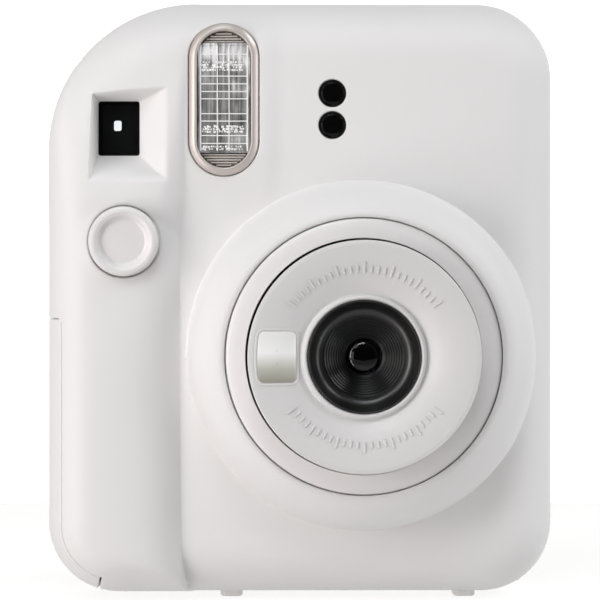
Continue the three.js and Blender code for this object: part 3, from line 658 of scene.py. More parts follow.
def build_battery_cover():
    cx, cz = -W2 + R_BL, FOOT + R_BL
    straight = (COVER_TOP - 0.09) - cz
    a_end = math.radians(252.4)
    total = straight + R_BL * (a_end - math.pi)

    def pos(u, v):
        # u runs down the side and round the corner, v from the front seam (0) to the back
        ang = math.pi + np.maximum(u - straight, 0) / R_BL
        px = np.where(u <= straight, -W2, cx + R_BL * np.cos(ang))
        pz = np.where(u <= straight, cz + straight - u, cz + R_BL * np.sin(ang))
        gx = np.where(u <= straight, -1.0, np.cos(ang))
        gz = np.where(u <= straight, 0.0, np.sin(ang))
        d = (COVER_D - 0.09) - v                 # inward distance; negative is down the side wall
        out = np.minimum(-d, 8.0)
        X = px + gx * out
        Z = pz + gz * out
        x, y, z = front_smooth(X, Z)
        y = y + np.maximum(-d - 8.0, 0)
        return x, y, z

    v_end = (COVER_D - 0.09) + 8.0 + (19.85 - SEAM)
    us = np.concatenate([[0, 0.06, 0.14, 0.24, 0.34], np.arange(0.9, total - 0.6, 0.8), total - np.array([0.34, 0.24, 0.14, 0.06, 0])])
    vs = np.concatenate([[0, 0.06, 0.14, 0.24, 0.34], np.arange(0.6, 5.4, 0.3), np.arange(5.6, v_end - 0.5, 0.9), v_end - np.array([0.34, 0.24, 0.14, 0.06, 0])])
    return grid_wall(pos, us, vs, 1.9, 0.3)


# ------------------------------------------------------------------ round pieces of the lens
def tube_profile(r_in, r_out, y0, y1, f=0.3):
    return round_profile([((r_in + r_out) / 2, y1), (r_in, y1), (r_in, y0, f), (r_out, y0, f), (r_out, y1)], 4)


def build_ring():
    prof = round_profile([(23.3, -12.0), (23.3, -28.45, 0.14), (25.0, -28.36), (26.2, -28.1), (27.23, -27.72, 0.4), (27.21, -25.7), (27.08, -24.9, 0.1), (28.9, -24.9, 0.2),
                          (28.9, -22.9, 0.2), (27.08, -22.9, 0.1), (27.08, -12.0)], 5)
    return revolve(prof, LX, LZ, 256)


def build_barrel():
    prof = round_profile([(21.3, -33.1), (21.3, -14.0), (22.7, -14.0, 0.2), (22.7, -33.1)], 3)
    return revolve(prof, LX, LZ, 256)


FACE = [(22.78, -33.25), (22.78, -35.72, 0.36), (21.9, -35.82, 0.6), (20.4, -35.62), (18.6, -35.22), (16.8, -34.72), (15.2, -34.15), (14.0, -33.62),
        (13.0, -33.1), (12.35, -32.9, 0.25), (12.0, -33.55, 0.14), (11.5, -33.74, 0.18), (11.12, -33.2, 0.1), (11.1, -31.9), (12.6, -31.9), (14.0, -32.4), (21.2, -33.25)]


def build_faceplate():
    return revolve(round_profile(FACE, 5), LX, LZ, 256)


def face_y(r):
    """Depth of the dished face at radius r."""
    q = np.array([(a[0], a[1]) for a in FACE[2:10]])[::-1]
    return np.interp(r, q[:, 0], q[:, 1])


def cube(x0, x1, y0, y1, z0, z1):
    V = np.array([(x, y, z) for x in (x0, x1) for y in (y0, y1) for z in (z0, z1)], float)
    F = [(0, 1, 3, 2), (4, 6, 7, 5), (0, 4, 5, 1), (2, 3, 7, 6), (0, 2, 6, 4), (1, 5, 7, 3)]
    return orient(V, F)


def build_ticks():
    """Two arcs of fine raised graduations on the face, a plain scale."""
    parts = []
    for a0, a1 in ((36, 144), (216, 324)):
        n = 25
        for i in range(n):
            a = math.radians(a0 + (a1 - a0) * i / (n - 1))
            L = 2.1 if i % 4 == 0 else 1.3
            r0, w = 16.5, 0.2
            c, s_ = math.cos(a), math.sin(a)
            V = []
            for r in (r0, r0 + L):
                for t in (-w, w):
                    for k in (0.25, -0.15):
                        y = float(face_y(r)) - k
                        ww = t * (0.7 if k > 0 else 1.0)
                        V.append((LX + r * c - ww * s_, y, LZ + r * s_ + ww * c))
            F = [(0, 1, 3, 2), (4, 6, 7, 5), (0, 4, 5, 1), (2, 3, 7, 6), (0, 2, 6, 4), (1, 5, 7, 3)]
            parts.append(orient(np.array(V), F))
    return join_parts(parts)


def build_funnel():
    prof = [(3.6, -26.9), (3.6, -28.2, 0.15)]
    # fine grooves on a shallow cone
    n = 8
    for k in range(n):
        r0, r1 = 4.1 + 3.9 * k / n, 4.1 + 3.9 * (k + 0.62) / n
        y0 = -28.55 - 2.1 * (k + 0.5) / n
        prof += [(r0, y0 + 0.13, 0.04), (r1, y0 - 0.13, 0.04)]
    prof += [(8.05, -30.72), (8.05, -28.4), (7.0, -27.4), (6.2, -26.9)]
    return revolve(round_profile(prof, 4), LX, LZ, 192)


def build_gloss_ring():
    """Concave gloss ring that rises from the grooves to the rim of the opening."""
    prof = [(8.08, -30.72), (8.55, -30.78), (8.85, -30.9), (9.1, -31.06), (9.35, -31.28), (9.6, -31.56), (9.85, -31.92), (10.1, -32.34), (10.35, -32.82), (10.6, -33.28),
            (10.85, -33.6, 0.1), (11.0, -33.6, 0.1), (11.0, -31.2), (8.7, -29.4), (8.08, -29.4)]
    return revolve(round_profile(prof, 4), LX, LZ, 192)


def build_front_lens():
    """Domed front element with a rounded shoulder."""
    prof = [(0.0, -28.75), (0.8, -28.74), (1.5, -28.68), (2.1, -28.57), (2.55, -28.43), (2.9, -28.25), (3.15, -28.05), (3.32, -27.82), (3.42, -27.55), (3.45, -27.2),
            (3.45, -26.6), (5.8, -26.6), (5.8, -24.2), (0.0, -24.2)]
    return revolve(prof, LX, LZ, 96)


# ------------------------------------------------------------------ stadium and rounded rectangle pieces
def stadium_pts(w, h, off, n=40, cx=FLX, cz=FLZ):
    """Stadium of width w and height h, grown by off, always the same number of points."""
    r = w / 2 + off
    s = h / 2 - w / 2
    p = []
    for i in range(n + 1):
        a = math.pi * i / n
        p.append((cx + r * math.cos(a), cz + s + r * math.sin(a)))
    for k in range(1, 24):
        p.append((cx - r, cz + s - 2 * s * k / 24))
    for i in range(n + 1):
        a = math.pi + math.pi * i / n
        p.append((cx + r * math.cos(a), cz - s + r * math.sin(a)))
    for k in range(1, 24):
        p.append((cx + r, cz - s + 2 * s * k / 24))
    return np.array(p)


def rr_pts(x0, x1, z0, z1, r, off=0.0, n=8, m=6):
    x0, x1, z0, z1 = x0 - off, x1 + off, z0 - off, z1 + off
    r = max(min(r + off, (x1 - x0) / 2 - 0.001, (z1 - z0) / 2 - 0.001), 0.02)
    C = [(x1 - r, z1 - r, 0), (x0 + r, z1 - r, 90), (x0 + r, z0 + r, 180), (x1 - r, z0 + r, 270)]
    arcs = [[(cx + r * math.cos(math.radians(a0 + 90 * i / n)), cz + r * math.sin(math.radians(a0 + 90 * i / n))) for i in range(n + 1)] for cx, cz, a0 in C]
    p = []
    for i in range(4):
        p += arcs[i]
        a, b = arcs[i][-1], arcs[(i + 1) % 4][0]
        p += [(a[0] + (b[0] - a[0]) * k / m, a[1] + (b[1] - a[1]) * k / m) for k in range(1, m)]
    return np.array(p)


def ring_loft(loops):
    """Loops of equal length joined into a closed ring: the last one joins the first."""
    n = len(loops[0])
    V = np.concatenate(loops)
    m = len(loops)
    F = []
    for k in range(m):
        k2 = (k + 1) % m
        for i in range(n):
            j = (i + 1) % n
            F.append((k * n + i, k * n + j, k2 * n + j, k2 * n + i))
    return orient(V, F)


def build_flash_bezel():
    st = lambda off: stadium_pts(FLV, FLH, off)
    # outer wall, long slope up to a crest near the inner edge, inner wall down to the window's seat
    prof = [(-0.06, -10.8), (-0.06, -15.5), (-0.09, -15.75), (-0.2, -15.95), (-0.45, -16.18), (-0.75, -16.4), (-1.05, -16.58), (-1.28, -16.68), (-1.45, -16.66),
            (-1.56, -16.52), (-1.62, -16.3), (-1.68, -15.8), (-1.7, -14.3), (-1.7, -10.8)]
    return ring_loft([at_y(st(o), y) for o, y in prof])


def stadium_half(dz, w):
    """Half width of a stadium of width w and height FLH at height dz from its centre."""
    s = FLH / 2 - FLV / 2
    r = w / 2
    q = max(abs(dz) - s, 0.0)
    return math.sqrt(max(r * r - q * q, 0.0))


WIN = dict(x0=FLX - 5.25, x1=FLX + 5.3, z0=90.3, z1=112.4)


def build_flash_ends():
    """Fluted floor in the bezel's two rounded ends."""
    parts = []
    inner_w = FLV - 2 * 1.66
    s = FLH / 2 - FLV / 2
    for sgn in (1, -1):
        z_win = WIN["z1"] - FLZ if sgn > 0 else FLZ - WIN["z0"]
        top = s + inner_w / 2 - 0.05
        pitch = 0.54
        # plate
        zs = np.linspace(z_win + 0.1, top, 24)
        up = [(FLX + stadium_half(z, inner_w), FLZ + sgn * z) for z in zs]
        dn = [(FLX - stadium_half(z, inner_w), FLZ + sgn * z) for z in zs[::-1]]
        poly = np.array(up + dn)
        parts.append(loft_loops([at_y(poly, -14.0), at_y(poly, -11.4)]))
        z = z_win + 0.28
        while z < top - 0.45:
            hw = min(stadium_half(z - 0.22, inner_w), stadium_half(z + 0.26, inner_w)) - 0.02
            if hw > 0.6:
                sec = [(-0.19, -13.9), (-0.18, -15.0), (-0.15, -15.3), (-0.06, -15.46), (0.06, -15.46), (0.15, -15.3), (0.18, -15.0), (0.19, -13.9)]
                L = [np.array([(x, y, FLZ + sgn * z + dz) for dz, y in sec]) for x in (FLX - hw, FLX - hw + 0.15, FLX + hw - 0.15, FLX + hw)]
                L[0][:, 1] = np.maximum(L[0][:, 1], -14.9); L[3][:, 1] = np.maximum(L[3][:, 1], -14.9)
                parts.append(loft_loops(L))
            z += pitch
    return join_parts(parts)


def build_flash_lens():
    """Clear window: a moulded box with a raised edge; its fine cross ribs and bands of small prisms are built in
    build_flash_ribs.
    """
    parts = []
    x0, x1, z0, z1 = WIN["x0"], WIN["x1"], WIN["z0"], WIN["z1"]
    loops = [at_y(rr_pts(x0, x1, z0, z1, 0.25, o), y) for o, y in ((-0.02, -13.8), (0, -13.9), (0, -15.75), (-0.12, -15.87), (-0.34, -15.87), (-0.42, -15.72), (-0.45, -15.6))]
    parts.append(loft_loops(loops))
    return join_parts(parts)


def build_flash_ribs():
    parts = []
    x0, x1, z0, z1 = WIN["x0"] + 0.42, WIN["x1"] - 0.42, WIN["z0"] + 0.42, WIN["z1"] - 0.42
    zc = lambda py: 60.8 - (py - 300) * (596 - 16) / 2890.0 / 1.0      # layout helper: height at the window's depth

    def bar(ax, az, bx, bz, w, hgt):
        if abs(ax - bx) > abs(az - bz):
            sec = [(-w, -15.55), (-w * 0.6, -15.6 - hgt), (w * 0.6, -15.6 - hgt), (w, -15.55)]
            L = [np.array([(x, y, az + dz) for dz, y in sec]) for x in (ax, bx)]
        else:
            sec = [(-w, -15.55), (-w * 0.6, -15.6 - hgt), (w * 0.6, -15.6 - hgt), (w, -15.55)]
            L = [np.array([(ax + dx, y, z) for dx, y in sec]) for z in (az, bz)]
        return loft_loops(L)

    for py in (54, 76, 83.7, 91.4, 98.7, 113.6, 121, 135.5, 143.4):
        z = zc(py)
        if z0 + 0.2 < z < z1 - 0.2:
            parts.append(bar(x0, z, x1, z, 0.13, 0.2))
    for x in (FLX - 1.3, FLX + 1.05):
        parts.append(bar(x, z0, x, z1, 0.12, 0.24))
    for x in (x0 + 0.12, x1 - 0.12):
        parts.append(bar(x, z0, x, z1, 0.2, 0.3))
    # three bands of small prisms of uneven size; their near-white colour is painted sparkle
    rs = np.random.RandomState(5)
    for c, n_rows in ((zc(66), 4), (zc(129), 3), (zc(148), 2)):
        for k in range(17):
            for j in range(n_rows):
                if rs.rand() < 0.16:
                    continue
                x = x0 + 0.5 + (x1 - x0 - 1.0) * (k + 0.5 * (j % 2) + 0.3 * rs.rand()) / 17.5
                z = c + (j - (n_rows - 1) / 2) * 0.5 + 0.16 * (rs.rand() - 0.5)
                q = 0.14 + 0.17 * rs.rand()
                V = [(x - q, -15.55, z - q), (x + q, -15.55, z - q), (x + q, -15.55, z + q), (x - q, -15.55, z + q), (x, -15.85, z)]
                F = [(0, 1, 2, 3), (0, 1, 4), (1, 2, 4), (2, 3, 4), (3, 0, 4)]
                parts.append(orient(np.array(V), F))
    return join_parts(parts)


def build_reflector():
    """Plated trough behind the window: steep curved sides above and below the tube, open at its ends."""
    x0, x1 = FLX - 5.1, FLX + 5.15
    zc, y0, y1 = FLZ, -13.55, -3.0
    sec = []
    for k in range(33):
        t = -1 + 2 * k / 32
        sec.append((zc + 10.4 * t, y1 - 1.2 + (y0 - y1 + 1.2) * abs(t) ** 2.6))
    back = [(z, min(y + 0.8, y1 + 0.5) if abs(z - zc) < 10.0 else y + 0.0) for z, y in sec]
    out = [np.array([(x, y, z) for z, y in sec] + [(x, y1 + 0.4, z) for z, y in sec[::-1]]) for x in (x0, x1)]
    V, F = loft_loops(out, False, False)
    parts = [(V, F)]
    return join_parts(parts)


def build_finder_window():
    loops = [at_y(rr_pts(-41.9, -31.6, 89.1, 101.9, 0.8, o), y) for o, y in ((0, -7.7), (0, -8.5), (-0.06, -8.6))]
    return loft_loops(loops)


def build_finder_tube():
    """Open tube from the front window to the eyepiece, with a small masked opening near the front."""
    ox = (-42.4, -31.2, 88.7, 102.3)
    L = []
    outer = lambda y, o=0.0: at_y(rr_pts(*ox, 0.6, o), y)
    inner = lambda y, g: at_y(rr_pts(ox[0] + g, ox[1] - g, ox[2] + g, ox[3] - g, 0.6), y)
    hole = lambda y: at_y(rr_pts(-38.12, -36.55, 95.38, 97.5, 0.45), y)
    loops = [outer(-7.2), outer(28.2), inner(28.2, 1.2), inner(-3.6, 1.2), hole(-3.6), hole(-4.4), inner(-4.4, 1.2), inner(-7.2, 1.2)]
    return ring_loft(loops)


def build_finder_bezel():
    """Thin dark frame that lines the opening in front of the window."""
    a = lambda y, o: at_y(rr_pts(REC["x0"], REC["x1"], REC["z0"], REC["z1"], 0.5, o), y)
    return ring_loft([a(-11.4, -0.02), a(-8.65, -0.02), a(-8.65, -0.6), a(-8.8, -0.6), a(-11.35, -0.12)])


def build_eyepiece():
    f = lambda y, o: at_y(rr_pts(-45.2, -28.4, 87.4, 103.6, 3.5, o), y)
    h = lambda y, o: at_y(rr_pts(-41.0, -32.6, 91.4, 100.2, 1.5, o), y)
    loops = [f(32.3, 0), f(34.6, 0), f(35.1, -0.12), f(35.45, -0.4), f(35.68, -0.8), f(35.8, -1.3), h(35.8, 2.0), h(35.62, 1.7), h(35.2, 1.4), h(34.95, 0.9), h(34.95, 0.52), h(33.3, 0.5), h(33.3, 0.0),
             h(29.5, 0.0), f(29.5, -2.35), f(32.3, -2.35)]
    return ring_loft(loops)


def build_eyepiece_lens():
    g = lambda o, y: at_y(rr_pts(-41.4, -32.2, 91.0, 100.6, 1.5, o), y)
    return loft_loops([g(0, 33.7), g(0, 34.5), g(-0.06, 34.64), g(-0.2, 34.7)])


def build_button():
    prof = round_profile([(0.0, -19.85), (2.0, -19.85), (4.3, -19.87, 0.25), (4.72, -20.1, 0.2), (5.15, -20.75, 0.4), (5.85, -21.1, 0.6), (6.55, -21.0, 0.4), (6.95, -20.3, 0.4),
                          (6.97, -17.2), (8.0, -17.0, 0.1), (8.0, -16.0), (5.6, -15.9), (5.6, -17.6), (0.0, -17.6)], 5)
    return revolve(prof, BTX, BTZ, 128, closed=False)


def build_sensor(z):
    prof = round_profile([(0.0, -14.62), (1.4, -14.58), (2.15, -14.45, 0.2), (2.3, -14.25, 0.1), (2.42, -14.5, 0.06), (2.66, -14.5, 0.1), (2.7, -14.1), (2.7, -12.2), (0.0, -12.2)], 4)
    return revolve(prof, SNX, z, 64, closed=False)


def build_mirror():
    """Convex silvered plate and the shallow rounded frame it sits in."""
    cx, cz, w, h = -4.72, 49.7, 8.1, 10.5
    x0, x1, z0, z1 = cx - w / 2, cx + w / 2, cz - h / 2, cz + h / 2

    def arc(P):
        # the left side follows the round edge of the face
        P = P.copy()
        t = np.clip((cx - P[:, 0]) / (w / 2), 0, 1)
        P[:, 0] -= 0.0
        P[:, 0] += t * 0.42 * ((P[:, 1] - cz) / (h / 2)) ** 2
        return P

    def y_at(P):
        return face_y(np.hypot(P[:, 0] - LX, P[:, 1] - LZ))

    g = lambda o: arc(rr_pts(x0, x1, z0, z1, 1.35, o, n=10, m=10))
    plate = []
    V = []
    # domed plate: concentric loops
    loops = []
    for q in (0.0, -0.12, -0.3, -0.8, -1.5, -2.3, -3.1, -3.8):
        P = arc(rr_pts(x0, x1, z0, z1, 1.25, q - 0.3, n=10, m=10))
        dome = 0.3 * (1 - ((P[:, 0] - cx) / (w / 2)) ** 2) * (1 - ((P[:, 1] - cz) / (h / 2)) ** 2)
        y = y_at(P) - 0.13 + (0.2 if q == 0.0 else 0) - dome
        loops.append(at_y(P, 0.0) + np.stack([np.zeros(len(P)), y, np.zeros(len(P))], 1))
    P = arc(rr_pts(x0, x1, z0, z1, 1.25, -0.3, n=10, m=10))
    back = at_y(P, 0.0) + np.stack([np.zeros(len(P)), y_at(P) + 0.5, np.zeros(len(P))], 1)
    plate = loft_loops([back] + loops)
    # frame: proud of the dished face, with a bevel
    A = []
    for o, dy in ((0.34, 0.4), (0.34, -0.02), (0.24, -0.14), (0.06, -0.17), (-0.08, -0.08), (-0.15, 0.1), (-0.16, 0.5), (0.1, 0.5)):
        P = g(o)
        A.append(at_y(P, 0.0) + np.stack([np.zeros(len(P)), y_at(P) + dy, np.zeros(len(P))], 1))
    frame_ = ring_loft(A)
    return plate, frame_


# ------------------------------------------------------------------ rear housing, door and hinge
def rear_map(X, Z):
    """Layout point to the rear housing's outer surface; outside the outline it is the side wall."""
    s, gx, gz = outline(X, Z)
    phi = np.clip(s / 8.0, 0, 1) * math.pi / 2
    d = np.where(s < 0, 0.0, np.where(s < 8.0, 8.0 * (1 - np.cos(phi)), s))
    y = np.where(s < 0, 20.0 + s, 20.0 + 12.0 * np.sin(phi))
    return X + gx * (s - d), y, Z + gz * (s - d)


def arc_pts(cx, cz, r, a0, a1, n):
    a = np.radians(np.linspace(a0, a1, n))
    return list(zip(cx + r * np.cos(a), cz + r * np.sin(a)))


def build_rear():
    out = 13.55
    S_OPEN = 3.12
    base = outline_loop(-out, 1.5)
    cx, cz = -W2 + R_BL, FOOT + R_BL
    ar = math.radians(254.0)
    o = 0.15
    cut = [(-W2 - out - 0.01, COVER_TOP + o)] + [(v, COVER_TOP + o) for v in np.linspace(-W2 - out, -W2 + 0.1, 16)]
    cut += [(-W2 + 0.1, v) for v in np.linspace(COVER_TOP + o, cz, 44)[1:]]
    cut += arc_pts(cx, cz, R_BL - 0.1, 180, 254, 22)[1:]
    nx, nz = -math.sin(ar) * o, math.cos(ar) * o
    cut += [(cx + q * math.cos(ar) + nx, cz + q * math.sin(ar) + nz) for q in np.linspace(R_BL - 0.1, R_BL + out, 16)]
    cut = np.array(cut)
    bite = np.concatenate([cut, [[-W2 - 20, FOOT - 20]], [[-W2 - 20, COVER_TOP + o]]])
    inside_bite = in_poly(base[:, 0], base[:, 1], bite)
    n = len(base)
    k0 = [i for i in range(n) if not inside_bite[i] and inside_bite[i - 1]][0]
    keep = [base[(k0 + i) % n] for i in range(n) if not inside_bite[(k0 + i) % n]]
    outer = np.array(keep + list(resample(cut[1:], 0.9, closed=False)))
    rx, rz, rr = W2 - R_BR, FOOT + R_BR, R_BR - S_OPEN
    a_in = -math.degrees(math.asin((rz - 8.03) / rr))
    door = np.array([(DOOR["x0"], 8.03)] + arc_pts(rx, rz, rr, a_in, 0, 10) + [(W2 - S_OPEN, DOOR["z1"]), (DOOR["x0"], DOOR["z1"])])
    tx, tz = W2 - R_TR, HGT - R_TR
    slot_ = np.array([(-17.3, 120.36)] + arc_pts(tx, tz, 14.36, 90, 68, 5) + arc_pts(tx, tz, 18.4, 68, 90, 5) + [(-17.3, 124.4)])
    eye = rrect_loop(-43.1, -30.5, 89.4, 101.6, 2.5, 0.7)
    holes = [resample(door, 0.9), resample(slot_, 0.8), eye]

    def inside(X, Z):
        ok = in_poly(X, Z, outer)
        for h in holes:
            ok &= ~in_poly(X, Z, h)
        return ok

    s = Sheet(outer, holes, None)
    for off in (0.12, 0.26, 0.45, 0.8):
        p = np.array([(DOOR["x0"] - off, 8.03 - off)] + arc_pts(rx, rz, rr + off, a_in, 0, 10) + [(W2 - S_OPEN + off, DOOR["z1"] + off), (DOOR["x0"] - off, DOOR["z1"] + off)])
        s.add(resample(p, 0.9), 0.09)
        q = np.array([(-17.3 - off, 120.36 - off)] + arc_pts(tx, tz, 14.36 - off, 90, 68, 5) + [(41.4 + off * 1.2, 119.3), (42.9 + off * 1.2, 123.06)] + arc_pts(tx, tz, 18.4 + off, 68, 90, 5) + [(-17.3 - off, 124.4 + off)])
        s.add(resample(q, 0.8), 0.09)
        s.add(cut - np.array([[0, 0]]) + np.where((cut[:, 1:] > COVER_TOP), [[0, off]], [[0, 0]]), 0.09)
    for d in [-out + 0.12, -out + 0.3, -out + 0.8, -9, -6, -3, -1.2, -0.5, 0.0, 0.2, 0.4] + [8 * k / 16 for k in range(1, 19)]:
        s.add(outline_loop(d, 1.2), 0.05 if d < 0.5 else 0.25)
    s.add(hexgrid(-52, 52, 0, 122, 1.7), 0.8)

    def drop_at(X, Z):
        e = edge_drop(poly_dist(X, Z, door), 0.3)
        e = np.maximum(e, edge_drop(poly_dist(X, Z, slot_), 0.3))
        e = np.maximum(e, edge_drop(poly_dist(X, Z, cut), 0.3))
        d, gx, gz = outline(X, Z)
        return np.maximum(e, edge_drop(out + d, 0.3))

    co, tri, P, S, n_ = s.build(rear_map, rear_map, 2.0, inside)
    X, Z = co[:, 0], co[:, 1]
    mid = np.abs(outline(X, Z)[0] - 20) < 10
    flip = -np.sign(np.median(n_[:, 1][mid])) if mid.any() else 1
    n_ = n_ * (flip if flip != 0 else 1)                  # points inwards
    P = P + n_ * drop_at(X, Z)[:, None]
    Q = S + n_ * 1.95
    Q[:, 1] = np.maximum(Q[:, 1], SEAM + 0.4)
    V, F = close_wall(co, tri, P, Q, False)
    parts = [orient(V, F)]
    # ledge under the hinge
    led = np.array([(44.7, 12.1), (44.7, 5.6)] + arc_pts(rx, rz, 13.2, -58, -15.5, 10))
    led[:, 1] = np.minimum(led[:, 1], 12.1)
    parts.append(loft_loops([at_y(led, 24.9), at_y(led, 26.6), at_y(led, 26.75)]))
    for a, b in ((12.0, KNUCKLES[0][0] - 0.3), (KNUCKLES[0][1] + 0.3, KNUCKLES[1][0] - 0.3), (KNUCKLES[1][1] + 0.3, DOOR["z1"] - 0.5)):
        parts.append(keyhole(lambda t: min(3.3 / max(math.cos(t), 1e-3), 6.4 / max(-math.sin(t), 1e-3)) if -math.pi / 2 < t < 0 else 0.0, 3.52, a, b))
    return join_parts(parts)


def keyhole(reach, r, z0, z1, n=72, bore=1.28):
    """A hinge barrel round the pin with an arm: reach(angle) is how far the arm goes from the pin's axis."""
    loops = []
    for z, rr, bb in ((z0, -0.15, 0.12), (z0 + 0.15, 0, 0), (z1 - 0.15, 0, 0), (z1, -0.15, 0.12)):
        o_, i_ = [], []
        for k in range(n):
            t = -math.pi + 2 * math.pi * k / n
            q = max(r, reach(t)) + rr
            o_.append((PIN_X + q * math.cos(t), PIN_Y + q * math.sin(t), z))
            i_.append((PIN_X + (bore + bb) * math.cos(t), PIN_Y + (bore + bb) * math.sin(t), z))
        loops.append((np.array(o_), np.array(i_)))
    seq = [l[0] for l in loops] + [l[1] for l in loops[::-1]]
    return ring_loft(seq)


def build_door():
    x0, x1, z0, z1 = DOOR["x0"] + 0.3, DOOR["x1"] - 0.6, DOOR["z0"] + 0.3, DOOR["z1"] - 0.3
    win = (-7.5, 1.5, 34, 76, 2.5)
    cnt = (25.2, 32.2, 20.6, 26.6, 1.6)
    trk = (-20.4, -16.4, 42.6, 57.0, 0.5)
    outer = rrect_loop(x0, x1, z0, z1, 0.8, 1.0)
    H = [rrect_loop(*h, 0.8) for h in (win, cnt, trk)]

    def inside(X, Z):
        ok = rrect_dist(X, Z, x0, x1, z0, z1, 0.8) < 0.004
        for h in (win, cnt, trk):
            ok &= rrect_dist(X, Z, *h) > -0.004
        return ok

    s = Sheet(outer, H, None)
    for off in (0.1, 0.22, 0.4, 0.6, 0.9):
        s.add(rrect_loop(x0, x1, z0, z1, 0.8, 1.0, -off), 0.08)
        for h in (win, cnt, trk):
            s.add(rrect_loop(*h, 0.8, off), 0.08)
    # a shallow raised panel and its edge
    panel = (-14.5, 40.5, 12.0, 100.6, 5.0)
    for off in (-0.9, -0.6, -0.3, 0.0, 0.3, 0.6, 0.9):
        s.add(rrect_loop(*panel, 1.0, off), 0.12)
    s.add(hexgrid(x0, x1, z0, z1, 1.8), 0.8)

    def pos(X, Z):
        y = np.full(X.shape, 31.75)
        y = y + 0.25 * sstep(0.7, -0.7, rrect_dist(X, Z, *panel))
        y = y - edge_drop(-rrect_dist(X, Z, x0, x1, z0, z1, 0.8), 0.6)
        for h in (win, cnt, trk):
            y = y - edge_drop(rrect_dist(X, Z, *h), 0.35)
        return X, y, Z

    flat = lambda X, Z: (X, np.full(X.shape, 32.0), Z)
    co, tri, P, S, n_ = s.build(pos, flat, 2.0, inside)
    Q = S.copy(); Q[:, 1] = 30.0
    V, F = close_wall(co, tri, P, Q, False)
    parts = [orient(V, F)]
    # rim on the inside
    R_ = lambda y, o: at_y(rr_pts(x0, x1, z0, z1, 0.8, o), y)
    parts.append(ring_loft([R_(30.2, 0), R_(27.5, 0), R_(27.3, -0.2), R_(27.3, -1.3), R_(27.5, -1.5), R_(30.2, -1.5)]))
    # hinge barrels and their arms
    ax, top0, top1 = -5.0, 4.6, 3.5

    def reach(t):
        if not (math.pi / 2 < t < math.radians(173.2)):
            return 0.0
        c, q = math.cos(t), math.sin(t)
        # line from (ax, top0) to (0, top1)
        m = (top1 - top0) / (0 - ax)
        r1 = top1 / (q - m * c)
        r2 = ax / c if c < -1e-4 else 1e9
        return min(r1, r2)
    for a, b in KNUCKLES:
        parts.append(keyhole(reach, 3.5, a, b))
    # stud for the counter disc
    V, F = revolve(round_profile([(0.0, 27.45), (1.1, 27.45, 0.15), (1.1, 30.1), (0.0, 30.1)], 3), 28.7, 31.6, 40, closed=False)
    parts.append((V, F))
    return join_parts(parts)


# ------------------------------------------------------------------ procedural materials
def new_material(name):
    m = bpy.data.materials.new(name)
    m.use_nodes = True
    nt = m.node_tree
    return m, nt, nt.nodes["Principled BSDF"]


def surface(name, color, rough, metallic=0.0, grain=0.0, grain_scale=900.0, rough_var=0.06, tint_var=0.02, coat=0.0, spec=0.5, wear=0.0,
            transmission=0.0, ior=1.46, brushed=None, alpha=1.0, sss=0.0):
    """Finish with a moulded grain (bump), patchy gloss, slight tint drift and, if asked, rubbed edges."""
    m, nt, b = new_material(name)
    N, L = nt.nodes, nt.links
    tc = N.new("ShaderNodeTexCoord")
    # slow variation of tint and gloss
    big = N.new("ShaderNodeTexNoise"); big.inputs["Scale"].default_value = 38.0; big.inputs["Detail"].default_value = 3.0
    L.new(tc.outputs["Object"], big.inputs["Vector"])
    fine = N.new("ShaderNodeTexNoise"); fine.inputs["Scale"].default_value = grain_scale; fine.inputs["Detail"].default_value = 2.0
    if brushed:
        mp = N.new("ShaderNodeMapping"); mp.inputs["Scale"].default_value = brushed
        L.new(tc.outputs["Object"], mp.inputs["Vector"]); L.new(mp.outputs["Vector"], fine.inputs["Vector"])
    else:
        L.new(tc.outputs["Object"], fine.inputs["Vector"])
    ramp = N.new("ShaderNodeMapRange")
    ramp.inputs["From Min"].default_value = 0.3; ramp.inputs["From Max"].default_value = 0.7
    ramp.inputs["To Min"].default_value = max(rough - rough_var, 0.01); ramp.inputs["To Max"].default_value = min(rough + rough_var, 1.0)
    L.new(big.outputs["Fac"], ramp.inputs["Value"])
    L.new(ramp.outputs["Result"], b.inputs["Roughness"])
    mix = N.new("ShaderNodeMix"); mix.data_type = "RGBA"
    mix.inputs[6].default_value = (*[c * (1 - tint_var) for c in color], 1)
    mix.inputs[7].default_value = (*[min(c * (1 + tint_var), 1) for c in color], 1)
    L.new(big.outputs["Fac"], mix.inputs[0])
    col = mix.outputs[2]
    if wear > 0:
        geo = N.new("ShaderNodeNewGeometry")
        pr = N.new("ShaderNodeMapRange"); pr.inputs["From Min"].default_value = 0.53; pr.inputs["From Max"].default_value = 0.6
        L.new(geo.outputs["Pointiness"], pr.inputs["Value"])
        mul = N.new("ShaderNodeMath"); mul.operation = "MULTIPLY"; mul.inputs[1].default_value = wear
        L.new(pr.outputs["Result"], mul.inputs[0])
        wm = N.new("ShaderNodeMix"); wm.data_type = "RGBA"
        wm.inputs[7].default_value = (*[min(c * 1.12 + 0.03, 1) for c in color], 1)
        L.new(mul.outputs[0], wm.inputs[0]); L.new(col, wm.inputs[6])
        col = wm.outputs[2]
    L.new(col, b.inputs["Base Color"])
    if grain > 0:
        bump = N.new("ShaderNodeBump"); bump.inputs["Strength"].default_value = grain; bump.inputs["Distance"].default_value = 0.00004
        L.new(fine.outputs["Fac"], bump.inputs["Height"])
        L.new(bump.outputs["Normal"], b.inputs["Normal"])
    b.inputs["Metallic"].default_value = metallic
    b.inputs["IOR"].default_value = ior
    b.inputs["Specular IOR Level"].default_value = spec
    b.inputs["Coat Weight"].default_value = coat
    b.inputs["Coat Roughness"].default_value = 0.12
    b.inputs["Transmission Weight"].default_value = transmission
    b.inputs["Alpha"].default_value = alpha
    if sss:
        b.inputs["Subsurface Weight"].default_value = sss
        b.inputs["Subsurface Radius"].default_value = (1, 0.9, 0.8)
        b.inputs["Subsurface Scale"].default_value = 0.001
    return m


